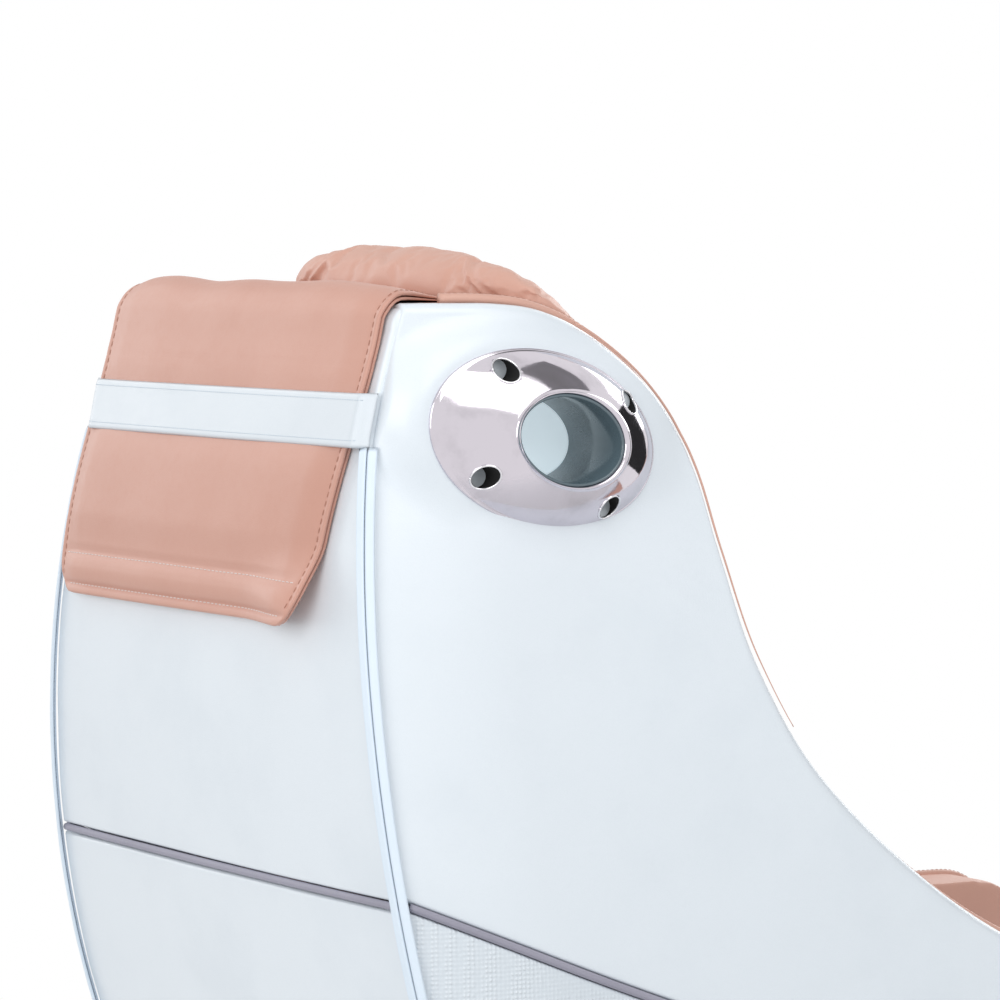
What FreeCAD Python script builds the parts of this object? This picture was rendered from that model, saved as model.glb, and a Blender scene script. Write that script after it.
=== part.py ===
"""Pedicure spa chair: a reclining, sliding shell seat over a moulded base with a foot basin."""
import FreeCAD, Part
import math
import os

os.makedirs("parts", exist_ok=True)

# Units are millimetres. The sitter faces -Y, +X is the sitter's left and +Z is up.
# The origin is on the floor, midway between the foot basin's front and the back's rear.

# Clearances
GAP = 0.3             # between soft or curved neighbours
RUN = 0.06            # radial, a pin in its bore
SEAM_GAP = 1.5        # across the rear corner seam

# Back and side walls of the shell
REAR_Y = 699.0        # rearmost line of the back
REAR_Z = 1000.0       # height of that line
REAR_RADIUS_UP = 1100.0
REAR_RADIUS_DOWN = 1300.0
SHELL_TOP_Z = 1344.0
SKIRT_Z = 350.0       # lower edge of the shell
HIP_HALF = 350.0      # half width at the rear seam, low down
HIP_Z = 640.0
SHOULDER_HALF = 278.0
SHOULDER_Z = 1220.0
FLARE_POWER = 1.7
SIDE_BULGE = 24.0     # the side wall swells this far outside its seam
BULGE_RUN = 140.0     # ahead of the seam
PANEL_T_WING = 20.0
PANEL_T_ARM = 40.0
REAR_PANEL_T = 15.0
REAR_CROWN = 6.0

# Side view of the shell
WING_TOP_Y = 541.0    # where the level top starts to fall
WING_MID_Y = 400.0
WING_MID_Z = SHELL_TOP_Z - 65.0
WING_LOW_Y = 335.0    # where the wing's front edge runs into the swoop
WING_LOW_Z = SHELL_TOP_Z - 161.0
ARM_START_Y = -150.0
ARM_START_Z = 668.0
ARM_FRONT_Y = -520.0
ARM_FRONT_Z = 660.0
NOSE_RADIUS = 75.0
NOSE_LOW_Z = 520.0
LINING_PROUD = 5.0
# points of the swoop, as shares of the way along Y and Z from the arm to the wing
SWOOP_SHARES = ((0.961, 0.8485), (0.895, 0.6485), (0.763, 0.439), (0.526, 0.233), (0.268, 0.0816))
SKIRT_FLAT_Y = -100.0  # ahead of this the skirt sweeps up to the nose
SKIRT_SWEEP = ((-190.0, 400.0), (-270.0, 470.0))

# Piping line
PIPING_REAR_Z = 797.0
PIPING_HALF = 4.0
PIPING_PROUD = 3.0
PIPING_DEPTH = 12.0
# rise of the side piping over the rear one, by place along Y
PIPING_SPOTS = ((REAR_Y + 30.0, 23.0), (420.0, -104.0), (150.0, -197.0), (-150.0, -245.0),
                (ARM_FRONT_Y - 30.0, -257.0))

# Padding
ARM_PAD_W = 79.0      # lining across the arm
WING_PAD_T = 32.0     # lining of the wing
SEAT_HALF = HIP_HALF + SIDE_BULGE - PANEL_T_ARM - ARM_PAD_W
WING_INNER_HALF = SHOULDER_HALF + SIDE_BULGE - PANEL_T_WING - WING_PAD_T
CUSHION_FRONT_Y = -230.0
CUSHION_T = 80.0
CUSHION_CROWN = 14.0
BACK_PAD_T = 55.0
BACK_PAD_CROWN = 12.0
BACK_PAD_FOOT = 118.0  # along the lean, above its foot
BACK_PAD_DROP = 18.0   # below the top of the uprights

# Port in each wing
PORT_Y = 507.0
PORT_Z = SHELL_TOP_Z - 126.0
PORT_TILT = 13.0      # degrees, the rear end up
PORT_OUTER_HALF_Y = 124.8
PORT_OUTER_HALF_Z = 81.8
PORT_RIM_HALF_Y = 58.7
PORT_RIM_HALF_Z = 42.0
PORT_HEIGHT = 55.0
PORT_DEPTH = 96.0
PORT_RING_T = 15.0    # straight foot of the bezel, flush with the wall at its lowest point
PORT_RING_EDGE = 2.0
PORT_BOW = 3.0        # the flank swells this much half way up
PORT_RIM_SHIFT = 5.0  # the rim stands this far forward of the bore
PORT_FOOT_SHIFT = 6.0  # and the foot this far rearward
PORT_WALL = 3.0
PORT_HOLE_R = 11.0
PORT_HOLE_Y = 70.0
PORT_HOLE_Z = 50.0

# Base
BASE_REAR_Y = 560.0
BASE_FRONT_Y = -712.0
BASE_ROUND_Y = -400.0  # where the round front starts
BASE_LOW_Z = 20.0
DECK_Z = 290.0
RIM_Z = 345.0
STEP_Y = -262.0
BASE_HALF_REAR = 300.0
BASE_HALF_FRONT = 365.0
BASE_DRAFT = 20.0
BASE_WALL = 8.0
BASE_CORNER_R = 60.0
BASE_FILLET = 12.0
FOOT_R = 25.0
BOSS_R = 30.0
HATCH_HALF = 108.0    # opening behind the access panel
HATCH_LOW_Z = 80.0
HATCH_HIGH_Z = 240.0
HATCH_LAP = 22.0      # the panel covers this much more on each side
HATCH_T = 4.0

# Foot bowl
BOWL_Y = -452.0
BOWL_HALF_X = 225.0
BOWL_HALF_Y = 165.0
BOWL_FLANGE = 18.0
BOWL_FLANGE_T = 8.0
BOWL_WALL = 6.0
BOWL_FLOOR_Z = 140.0
DRAIN_R = 22.0
PIPE_R = 19.0
PIPE_Z = 70.0
PIPE_X = -170.0
PIPE_OUT = 45.0       # each service stub stands this far out of the rear wall
SPIGOT_R = 20.0
OUTLET_COLLAR_T = 6.0

# Slide and recline
RAIL_X = 200.0
RAIL_H = 24.0
TUBE = 30.0
SLIDER_Z = 320.0
PIVOT_Y = 380.0
PIVOT_Z = 375.0
PIVOT_R = 10.0
SCREW_R = 8.0
SCREW_Z = 305.0
FRAME_Z = 435.0
FRAME_X = 204.0
PAN_T = 6.0
APRON_H = 88.0        # front edge of the seat pan, folded down
ROD_PIN_Y = 100.0
ROD_PIN_Z = 442.0
BODY_PIN_Y = 40.0
BODY_PIN_Z = 336.0
MOTOR_FRONT_Y = 443.0
BEARING_Y = -200.0    # rear face of the screw's front bearing
BEARING_T = 16.0
LINK_PIN_R = 6.0
OPEN_EYE_CLEARANCE = 4.0

# Massage drive, built upright and then leaned back about its foot
LEAN_DEG = 5.0
LEAN_Y = 545.0
LEAN_Z = 450.0
GUIDE_X = 110.0
GUIDE_R = 11.0
DRIVE_CLEAR = 3.0     # under the top cap
TOP_CAP_T = 44.0
DRIVE_TOP = (SHELL_TOP_Z - TOP_CAP_T - DRIVE_CLEAR - LEAN_Z) / math.cos(math.radians(LEAN_DEG))
BAR_W = 24.0          # width of the uprights and side bars
HEAD_BAR_H = 28.0     # cross bars that hold the guides and the screw
UPRIGHT_REAR = 7.0
CARRIAGE_LOW = 130.0
CARRIAGE_H = 120.0
ROLLER_R = 25.0
ROLLER_DEPTH = 72.0
ROLLER_AXLE_R = 4.0
ARM_PIN_DEPTH = 42.0
ARM_PIN_R = 5.0
ARM_REACH = 62.0
ROLLER_X = 62.0
PAD_DEPTH = 105.0

# Wall sections
WALL_SLACK = 30.0     # the untrimmed walls run this far past their edges
SECTION_STEPS = 9

# Flap, strap and top of the back
STRAP_HIGH_Z = SHELL_TOP_Z - 82.0
STRAP_W = 50.0
STRAP_LOW_Z = STRAP_HIGH_Z - STRAP_W
STRAP_T = 4.0
STRAP_SLOPE = 13.0    # width of the strap's slope from the flap to the seam
FLAP_T = 10.0
FLAP_LENGTH = 299.0   # hangs this far below the top
FLAP_LOW_Z = SHELL_TOP_Z - FLAP_LENGTH
FLAP_HALF = 262.0
FLAP_CORNER_R = 25.0
FLAP_LIE = 1.0        # between the flap and what it lies on
FLAP_REACH = 60.0     # forward of the wing's top
RIDGE_R = 26.0
CAP_FRONT_Y = WING_TOP_Y - 70.0
CAP_ROUND = 20.0

# Zip over each rear corner
ZIP_REACH = 6.0
ZIP_STAND = 1.85
ZIP_T = 3.0
ZIP_LOW_Z = SKIRT_Z + 15.0
ZIP_HIGH_Z = SHOULDER_Z - 30.0

# Head pillow
PILLOW_HALF = 238.0
PILLOW_Y = 432.0
PILLOW_RISE = 56.0    # above the shell's top
PILLOW_H = 164.0
PILLOW_TOP_Z = SHELL_TOP_Z + PILLOW_RISE
PILLOW_LOW_Z = PILLOW_TOP_Z - PILLOW_H
PILLOW_T = 88.0

# Feet, jets, lamp and services of the base
FOOT_SPOTS = ((225.0, 490.0), (262.0, -20.0), (190.0, -560.0))
FOOT_STUD_R = 6.0
JET_Z = 238.0
JET_PAD_X = 166.0
JET_R = 32.0
LAMP_R = 18.0
LAMP_X = 85.0
INLET_R = 10.5
INLET_Z = 120.0
INLET_XS = (175.0, 215.0)

# Fittings on the rim of the base
SOCKET_Y = -672.0
POST_R = 12.0
FAUCET_X = 200.0
FAUCET_Y = -615.0
PANEL_X = BASE_HALF_FRONT - 59.0
PANEL_Y = -455.0
BUTTON_R = 11.0
PANEL_BUTTON_YS = (PANEL_Y - 22.0, PANEL_Y + 22.0)

# Footrest
YOKE_PIN_Z = 438.0
YOKE_PIN_R = 5.0
PAD_PLATE_Z = YOKE_PIN_Z + 17.0
PAD_SHIFT = 18.0

# Keypad on the left arm
KEY_Y = -330.0
KEY_SLOPE = math.degrees(math.atan2(ARM_START_Z - ARM_FRONT_Z, ARM_START_Y - (ARM_FRONT_Y + NOSE_RADIUS)))
KEY_HALF_X = 26.0
KEY_HALF_Y = 46.0
KEY_R = 9.0

# Worked out from the values above
PORT_BASE_X = SHOULDER_HALF + SIDE_BULGE
PORT_RIM_X = PORT_BASE_X + PORT_HEIGHT
PORT_END_X = PORT_RIM_X - PORT_DEPTH
PAN_TOP_Z = FRAME_Z + TUBE + PAN_T
SEAT_REAR_Y = LEAN_Y - PAD_DEPTH - BACK_PAD_T - 18.0
FAR = 400.0           # half size of a cutting block that spans the part


def vec(x, y, z):
    return FreeCAD.Vector(x, y, z)


def box(x0, x1, y0, y1, z0, z1):
    return Part.makeBox(x1 - x0, y1 - y0, z1 - z0, vec(x0, y0, z0))


def cylinder(radius, start, end):
    axis = end.sub(start)
    return Part.makeCylinder(radius, axis.Length, start, axis)


def line(a, b):
    return Part.LineSegment(a, b).toShape()


def arc(a, middle, b):
    return Part.Arc(a, middle, b).toShape()


def smooth(points, start=None, end=None):
    """A curve through a few points, with its end directions where they are given."""
    curve = Part.BSplineCurve()
    if start is None:
        curve.interpolate(Points=points)
    else:
        curve.interpolate(Points=points, InitialTangent=start, FinalTangent=end)
    return curve.toShape()


def prism(edges, push):
    return Part.Face(Part.Wire(edges)).extrude(push)


def loft(wires, ruled=False):
    return Part.makeLoft(wires, True, ruled)


def mirrored(shape):
    return shape.mirror(vec(0, 0, 0), vec(1, 0, 0))


def cut_all(shape, tools):
    for tool in tools:
        shape = shape.cut(tool)
    return shape


def fuse_all(shapes):
    return shapes[0].multiFuse(shapes[1:]).removeSplitter()


def ellipse_wire(x, y, z, half_x, half_y):
    """Level ellipse, wider along X, as four arcs."""
    curve = Part.Ellipse(vec(x + half_x, y, z), vec(x, y + half_y, z), vec(x, y, z))
    edges = []
    for quarter in range(4):
        edges.append(curve.toShape(quarter * math.pi / 2, (quarter + 1) * math.pi / 2))
    return Part.Wire(edges)


def side_ellipse_wire(x, y, z, half_y, half_z):
    """Ellipse in the plane of a side wall, wider along Y, its rear end tilted up."""
    curve = Part.Ellipse(vec(x, y + half_y, z), vec(x, y, z + half_z), vec(x, y, z))
    edges = []
    for quarter in range(4):
        edges.append(curve.toShape(quarter * math.pi / 2, (quarter + 1) * math.pi / 2))
    wire = Part.Wire(edges)
    wire.rotate(vec(x, y, z), vec(1, 0, 0), PORT_TILT)
    return wire


def save(name, shape):
    if not shape.isValid():
        print("NOT VALID", name)
    if shape.ShapeType == "Compound" and len(shape.Solids) == 1:
        shape = shape.Solids[0]
    shape.exportStep("parts/" + name + ".step")
    print(f"{name}: {len(shape.Solids)} solid(s), {shape.Volume / 1000.0:.0f} cm3")


# Surfaces of the shell as formulas

def rear_y(z):
    """Rear face at the seam: two tangent arcs that meet at the rearmost line."""
    radius = REAR_RADIUS_UP if z > REAR_Z else REAR_RADIUS_DOWN
    return REAR_Y - radius + math.sqrt(radius ** 2 - (z - REAR_Z) ** 2)


def seam_half(z):
    """Half width at the rear seam."""
    share = min(max((z - HIP_Z) / (SHOULDER_Z - HIP_Z), 0.0), 1.0)
    return HIP_HALF - (HIP_HALF - SHOULDER_HALF) * share ** FLARE_POWER


def wall_half(z):
    """Half width of the side wall where it has swollen fully."""
    return seam_half(z) + SIDE_BULGE


def panel_t(z):
    share = (wall_half(z) - SHOULDER_HALF - SIDE_BULGE) / (HIP_HALF - SHOULDER_HALF)
    return PANEL_T_WING + (PANEL_T_ARM - PANEL_T_WING) * share


def inner_half(z):
    share = (wall_half(z) - SHOULDER_HALF - SIDE_BULGE) / (HIP_HALF - SHOULDER_HALF)
    return WING_INNER_HALF + (SEAT_HALF - WING_INNER_HALF) * share


def wall_heights():
    low = SKIRT_Z - WALL_SLACK
    high = SHELL_TOP_Z + WALL_SLACK
    step = (high - low) / SECTION_STEPS
    return [low + step * index for index in range(SECTION_STEPS + 1)]


def side_section(z, out, thick):
    """Plan section of the side wall at one height, out past the surface by a given offset."""
    seam_x = seam_half(z) + out
    seam_y = rear_y(z)
    full_x = seam_x + SIDE_BULGE
    full_y = seam_y - BULGE_RUN
    front = ARM_FRONT_Y - WALL_SLACK
    radius = (SIDE_BULGE ** 2 + BULGE_RUN ** 2) / (2 * SIDE_BULGE)
    half_turn = math.asin(BULGE_RUN / radius) / 2
    middle = vec(full_x - radius + radius * math.cos(half_turn),
                 full_y + radius * math.sin(half_turn), z)
    corner = REAR_PANEL_T + 1.0
    seam = vec(seam_x, seam_y, z)
    full = vec(full_x, full_y, z)
    front_out = vec(full_x, front, z)
    front_in = vec(full_x - thick, front, z)
    inner = vec(full_x - thick, full_y, z)
    inner_rear = vec(seam_x - thick, seam_y - corner, z)
    edges = [arc(seam, middle, full), line(full, front_out), line(front_out, front_in),
             line(front_in, inner), line(inner, inner_rear), line(inner_rear, seam)]
    return Part.Wire(edges)


def side_wall(out=0.0, thick=None):
    """Untrimmed wall on the +X side."""
    wires = []
    for z in wall_heights():
        wires.append(side_section(z, out, panel_t(z) + out if thick is None else thick))
    return loft(wires)


def rear_section(z, out, thick):
    half = seam_half(z) - SEAM_GAP
    y = rear_y(z) + out
    inner = half - panel_t(z)
    left = vec(-half, y, z)
    right = vec(half, y, z)
    edges = [arc(left, vec(0, y + REAR_CROWN, z), right),
             line(right, vec(inner, y - thick, z)),
             line(vec(inner, y - thick, z), vec(-inner, y - thick, z)),
             line(vec(-inner, y - thick, z), left)]
    return Part.Wire(edges)


def rear_wall(out=0.0, thick=REAR_PANEL_T):
    return loft([rear_section(z, out, thick) for z in wall_heights()])


# Side view outlines, drawn in the plane X = 0

def at(y, z):
    return vec(0, y, z)


def swoop_edges(proud):
    """Wing top, wing front, swoop and arm top, from the rear to the arm's nose."""
    slant = proud * math.sqrt(0.5)
    wing_top = at(WING_TOP_Y, SHELL_TOP_Z + proud)
    wing_mid = at(WING_MID_Y - slant, WING_MID_Z + slant)
    wing_low = at(WING_LOW_Y - proud, WING_LOW_Z)
    wing = arc(wing_top, wing_mid, wing_low)
    drop = wing.tangentAt(wing.LastParameter)
    if drop.z > 0:
        drop = wing.tangentAt(wing.FirstParameter) * -1.0
    swoop = [wing_low]
    for along, up in SWOOP_SHARES:
        swoop.append(at(ARM_START_Y + (WING_LOW_Y - ARM_START_Y) * along - proud * up ** 0.3,
                        ARM_START_Z + (WING_LOW_Z - ARM_START_Z) * up + proud * (1.0 - along ** 3)))
    swoop.append(at(ARM_START_Y, ARM_START_Z + proud))
    slope = at(ARM_FRONT_Y - ARM_START_Y, ARM_FRONT_Z - ARM_START_Z)
    nose_top = at(ARM_FRONT_Y + NOSE_RADIUS, ARM_FRONT_Z + proud)
    nose = NOSE_RADIUS + proud
    nose_mid = at(ARM_FRONT_Y + NOSE_RADIUS - nose * math.sqrt(0.5),
                  ARM_FRONT_Z - NOSE_RADIUS + nose * math.sqrt(0.5))
    nose_front = at(ARM_FRONT_Y - proud, ARM_FRONT_Z - NOSE_RADIUS)
    return [line(at(REAR_Y + WALL_SLACK, SHELL_TOP_Z + proud), wing_top),
            wing,
            smooth(swoop, drop, slope),
            line(swoop[-1], nose_top),
            arc(nose_top, nose_mid, nose_front)]


def piping_points(shift):
    """Piping line in side view: straight from the rear corner, then easing level."""
    return [at(y, PIPING_REAR_Z + rise + shift) for y, rise in PIPING_SPOTS]


def piping_edge(shift):
    return smooth(piping_points(shift))


def upper_side_prism():
    """Everything above the piping and inside the swoop, seen from the side."""
    edges = swoop_edges(0.0)
    start = edges[0].Vertexes[0].Point
    low = piping_points(PIPING_HALF)
    nose_front = at(ARM_FRONT_Y, ARM_FRONT_Z - NOSE_RADIUS)
    corner = at(ARM_FRONT_Y, NOSE_LOW_Z - WALL_SLACK)
    outline = edges + [line(nose_front, corner),
                       line(corner, at(REAR_Y + WALL_SLACK, NOSE_LOW_Z - WALL_SLACK)),
                       line(at(REAR_Y + WALL_SLACK, NOSE_LOW_Z - WALL_SLACK), start)]
    below = [piping_edge(PIPING_HALF),
             line(low[-1], at(low[-1].y, SKIRT_Z - 2 * WALL_SLACK)),
             line(at(low[-1].y, SKIRT_Z - 2 * WALL_SLACK), at(low[0].y, SKIRT_Z - 2 * WALL_SLACK)),
             line(at(low[0].y, SKIRT_Z - 2 * WALL_SLACK), low[0])]
    push = vec(HIP_HALF + 100.0, 0, 0)
    return prism(outline, push).cut(prism(below, push))


def skirt_edges():
    """Lower edge of the shell from the rear to under the arm's nose."""
    rear = at(REAR_Y + WALL_SLACK, SKIRT_Z)
    flat_end = at(SKIRT_FLAT_Y, SKIRT_Z)
    nose_end = at(ARM_FRONT_Y + 90.0, NOSE_LOW_Z - 12.0)
    front = at(ARM_FRONT_Y, NOSE_LOW_Z)
    return [line(rear, flat_end),
            smooth([flat_end] + [at(y, z) for y, z in SKIRT_SWEEP] + [nose_end],
                   at(-120.0, 0.0), at(-120.0, 25.0)),
            line(nose_end, front)]


def lower_side_prism():
    edges = skirt_edges()
    high = piping_points(-PIPING_HALF)
    front = at(ARM_FRONT_Y, NOSE_LOW_Z)
    above = at(ARM_FRONT_Y, SHELL_TOP_Z)
    rear_top = at(REAR_Y + WALL_SLACK, SHELL_TOP_Z)
    outline = edges + [line(front, above), line(above, rear_top),
                       line(rear_top, at(REAR_Y + WALL_SLACK, SKIRT_Z))]
    over = [piping_edge(-PIPING_HALF),
            line(high[-1], at(high[-1].y, SHELL_TOP_Z + WALL_SLACK)),
            line(at(high[-1].y, SHELL_TOP_Z + WALL_SLACK), at(high[0].y, SHELL_TOP_Z + WALL_SLACK)),
            line(at(high[0].y, SHELL_TOP_Z + WALL_SLACK), high[0])]
    push = vec(HIP_HALF + 100.0, 0, 0)
    return prism(outline, push).cut(prism(over, push))


# Shell: covers

def port_cutter(clear, start_x, end_x):
    """Elliptic plug along X at the port's place."""
    wire = side_ellipse_wire(start_x, PORT_Y, PORT_Z,
                             PORT_RIM_HALF_Y + clear, PORT_RIM_HALF_Z + clear)
    return Part.Face(wire).extrude(vec(end_x - start_x, 0, 0))


def side_panel():
    panel = side_wall().common(upper_side_prism()).cut(top_corner_cutter())
    panel = panel.cut(port_cutter(GAP, PORT_END_X - WALL_SLACK, PORT_RIM_X))
    recess = side_ellipse_wire(PORT_BASE_X, PORT_Y + PORT_FOOT_SHIFT, PORT_Z,
                               PORT_OUTER_HALF_Y + GAP, PORT_OUTER_HALF_Z + GAP)
    return panel.cut(Part.Face(recess).extrude(vec(PORT_HEIGHT, 0, 0)))


def lower_side_panel():
    return side_wall().common(lower_side_prism())


def side_piping():
    """Welt between the upper and lower side covers, a little proud of them."""
    start = piping_points(PIPING_HALF - GAP)
    end = piping_points(GAP - PIPING_HALF)
    top = smooth(start)
    bottom = smooth(end)
    band = prism([top, line(start[-1], end[-1]), bottom, line(end[0], start[0])],
                 vec(HIP_HALF + 100.0, 0, 0))
    ends = box(0, HIP_HALF + 100.0, ARM_FRONT_Y, REAR_Y + WALL_SLACK, SKIRT_Z, SHELL_TOP_Z)
    return side_wall(PIPING_PROUD, PIPING_DEPTH).common(band).common(ends)


def wing_lining():
    """Padded inner wall, from the wing down to the seat, proud of the white edge."""
    wires = []
    for z in wall_heights():
        outer = wall_half(z) - panel_t(z) - GAP
        inner = inner_half(z)
        rear = rear_y(z) - BULGE_RUN
        front = ARM_FRONT_Y - WALL_SLACK
        wires.append(Part.Wire([line(vec(inner, rear, z), vec(outer, rear, z)),
                                line(vec(outer, rear, z), vec(outer, front, z)),
                                line(vec(outer, front, z), vec(inner, front, z)),
                                line(vec(inner, front, z), vec(inner, rear, z))]))
    edges = swoop_edges(LINING_PROUD)
    start = edges[0].Vertexes[0].Point
    nose_front = at(ARM_FRONT_Y - LINING_PROUD, ARM_FRONT_Z - NOSE_RADIUS)
    foot = at(nose_front.y, FRAME_Z + TUBE)
    back = at(start.y, FRAME_Z + TUBE)
    outline = edges + [line(nose_front, foot), line(foot, back), line(back, start)]
    lining = loft(wires).common(prism(outline, vec(HIP_HALF + 100.0, 0, 0)))
    under_nose = prism([line(at(ARM_FRONT_Y - 50.0, SKIRT_Z), at(ARM_FRONT_Y - 50.0, NOSE_LOW_Z)),
                        line(at(ARM_FRONT_Y - 50.0, NOSE_LOW_Z), at(ARM_FRONT_Y + 180.0, NOSE_LOW_Z)),
                        line(at(ARM_FRONT_Y + 180.0, NOSE_LOW_Z), at(ARM_FRONT_Y + 235.0, SKIRT_Z)),
                        line(at(ARM_FRONT_Y + 235.0, SKIRT_Z), at(ARM_FRONT_Y - 50.0, SKIRT_Z))],
                       vec(HIP_HALF + 100.0, 0, 0))
    lining = lining.cut(under_nose)
    return lining.cut(port_cutter(PORT_WALL + GAP, PORT_END_X - GAP, PORT_RIM_X))


def ridge_turn():
    """Centre of the rounded rear top corner, in side view."""
    z = SHELL_TOP_Z - RIDGE_R
    return at(rear_y(z) + REAR_CROWN + FLAP_LIE - RIDGE_R, z)


def top_corner_cutter():
    """What lies outside the rounded rear top corner of the shell."""
    turn = ridge_turn()
    far = HIP_HALF + 100.0
    block = box(-far, far, turn.y, REAR_Y + 100.0, turn.z, SHELL_TOP_Z + 100.0)
    return block.cut(cylinder(RIDGE_R - FLAP_LIE, vec(-far, turn.y, turn.z), vec(far, turn.y, turn.z)))


def rear_panel(upper):
    low = PIPING_REAR_Z + PIPING_HALF if upper else SKIRT_Z
    high = SHELL_TOP_Z if upper else PIPING_REAR_Z - PIPING_HALF
    panel = rear_wall().common(box(-FAR, FAR, 0, REAR_Y + 100, low, high))
    return panel.cut(top_corner_cutter()) if upper else panel


def rear_piping():
    low = PIPING_REAR_Z - PIPING_HALF + GAP
    high = PIPING_REAR_Z + PIPING_HALF - GAP
    return rear_wall(PIPING_PROUD, PIPING_DEPTH).common(box(-FAR, FAR, 0, REAR_Y + 100, low, high))


def zip_placket():
    """Covered zip along the rear corner, a strip set at 45 degrees to it."""
    wires = []
    out = ZIP_T
    for index in range(SECTION_STEPS):
        z = ZIP_LOW_Z + (ZIP_HIGH_Z - ZIP_LOW_Z) * index / (SECTION_STEPS - 1)
        x = seam_half(z) + ZIP_STAND
        y = rear_y(z) + ZIP_STAND
        corners = [vec(x + ZIP_REACH, y - ZIP_REACH, z), vec(x + ZIP_REACH + out, y - ZIP_REACH + out, z),
                   vec(x - ZIP_REACH + out, y + ZIP_REACH + out, z), vec(x - ZIP_REACH, y + ZIP_REACH, z)]
        wires.append(Part.makePolygon(corners + corners[:1]))
    return loft(wires)


def port_bezel():
    """Oval truncated cone with a swept flank, a bore and four holes along the axis."""
    foot_y = PORT_Y + PORT_FOOT_SHIFT
    foot = side_ellipse_wire(PORT_BASE_X + GAP, foot_y, PORT_Z,
                             PORT_OUTER_HALF_Y, PORT_OUTER_HALF_Z)
    ring = Part.Face(foot).extrude(vec(PORT_RING_T, 0, 0))
    bottom = side_ellipse_wire(PORT_BASE_X + GAP + PORT_RING_T, foot_y, PORT_Z,
                               PORT_OUTER_HALF_Y - PORT_RING_EDGE, PORT_OUTER_HALF_Z - PORT_RING_EDGE)
    waist_y = (PORT_OUTER_HALF_Y + PORT_RIM_HALF_Y) / 2 + PORT_BOW
    waist_z = (PORT_OUTER_HALF_Z + PORT_RIM_HALF_Z) / 2 + PORT_BOW
    waist = side_ellipse_wire(PORT_BASE_X + (PORT_RING_T + PORT_HEIGHT) / 2,
                              PORT_Y + (PORT_FOOT_SHIFT - PORT_RIM_SHIFT) / 2, PORT_Z, waist_y, waist_z)
    rim = side_ellipse_wire(PORT_RIM_X, PORT_Y - PORT_RIM_SHIFT, PORT_Z,
                            PORT_RIM_HALF_Y + PORT_WALL, PORT_RIM_HALF_Z + PORT_WALL)
    cone = ring.fuse(loft([bottom, waist, rim])).removeSplitter()
    cone = cone.cut(port_cutter(GAP, PORT_BASE_X - 10.0, PORT_RIM_X + 10.0))
    tilt = math.radians(PORT_TILT)
    for along in (-1, 1):
        for up in (-1, 1):
            y = PORT_Y + along * PORT_HOLE_Y * math.cos(tilt) - up * PORT_HOLE_Z * math.sin(tilt)
            z = PORT_Z + along * PORT_HOLE_Y * math.sin(tilt) + up * PORT_HOLE_Z * math.cos(tilt)
            cone = cone.cut(cylinder(PORT_HOLE_R, vec(PORT_BASE_X + 3.0, y, z),
                                     vec(PORT_RIM_X + 10.0, y, z)))
    return cone


def port_tube():
    outer = port_cutter(0.0, PORT_END_X + PORT_WALL + GAP, PORT_RIM_X - 1.0)
    return outer.cut(port_cutter(-PORT_WALL, PORT_END_X, PORT_RIM_X + 1.0))


def port_cap():
    return port_cutter(0.0, PORT_END_X, PORT_END_X + PORT_WALL)


def strap():
    """Flat band from corner to corner over the hanging flap."""
    wires = []
    t = STRAP_T
    stand = REAR_CROWN + FLAP_T + 2 * FLAP_LIE
    for z in (STRAP_LOW_Z, (STRAP_LOW_Z + STRAP_HIGH_Z) / 2, STRAP_HIGH_Z):
        half = seam_half(z) + 2.0
        y = rear_y(z)
        inner_y = y + stand
        edge = half - STRAP_SLOPE
        points = [vec(-half, y + 1.0, z), vec(-edge, inner_y, z), vec(edge, inner_y, z),
                  vec(half, y + 1.0, z), vec(half + t, y + 1.0, z),
                  vec(edge + 1.0, inner_y + t, z), vec(-edge - 1.0, inner_y + t, z),
                  vec(-half - t, y + 1.0, z)]
        wires.append(Part.makePolygon(points + points[:1]))
    return loft(wires)


def flap():
    """Weighted leather tail of the head pillow, draped over the top and down the back."""
    def back(z, off):
        return at(rear_y(z) + REAR_CROWN + FLAP_LIE + off, z)
    top_z = SHELL_TOP_Z + FLAP_LIE
    top_y = WING_TOP_Y - FLAP_REACH
    bend_z = SHELL_TOP_Z - RIDGE_R
    low_z = FLAP_LOW_Z - 5.0
    middle_z = (bend_z + low_z) / 2
    turn = ridge_turn()
    def ridge(off):
        reach = (RIDGE_R + FLAP_LIE + off) * math.sqrt(0.5)
        return at(turn.y + reach, turn.z + reach)
    inner = [line(at(top_y, top_z), at(turn.y, top_z)),
             arc(at(turn.y, top_z), ridge(0.0), back(bend_z, 0.0)),
             arc(back(bend_z, 0.0), back(middle_z, 0.0), back(low_z, 0.0))]
    outer = [line(back(low_z, 0.0), back(low_z, FLAP_T)),
             arc(back(low_z, FLAP_T), back(middle_z, FLAP_T), back(bend_z, FLAP_T)),
             arc(back(bend_z, FLAP_T), ridge(FLAP_T), at(turn.y, top_z + FLAP_T)),
             line(at(turn.y, top_z + FLAP_T), at(top_y, top_z + FLAP_T)),
             line(at(top_y, top_z + FLAP_T), at(top_y, top_z))]
    wide = FLAP_HALF + 10.0
    sheet = prism(inner + outer, vec(2 * wide, 0, 0))
    sheet.translate(vec(-wide, 0, 0))
    return sheet.common(flap_outline())


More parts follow.
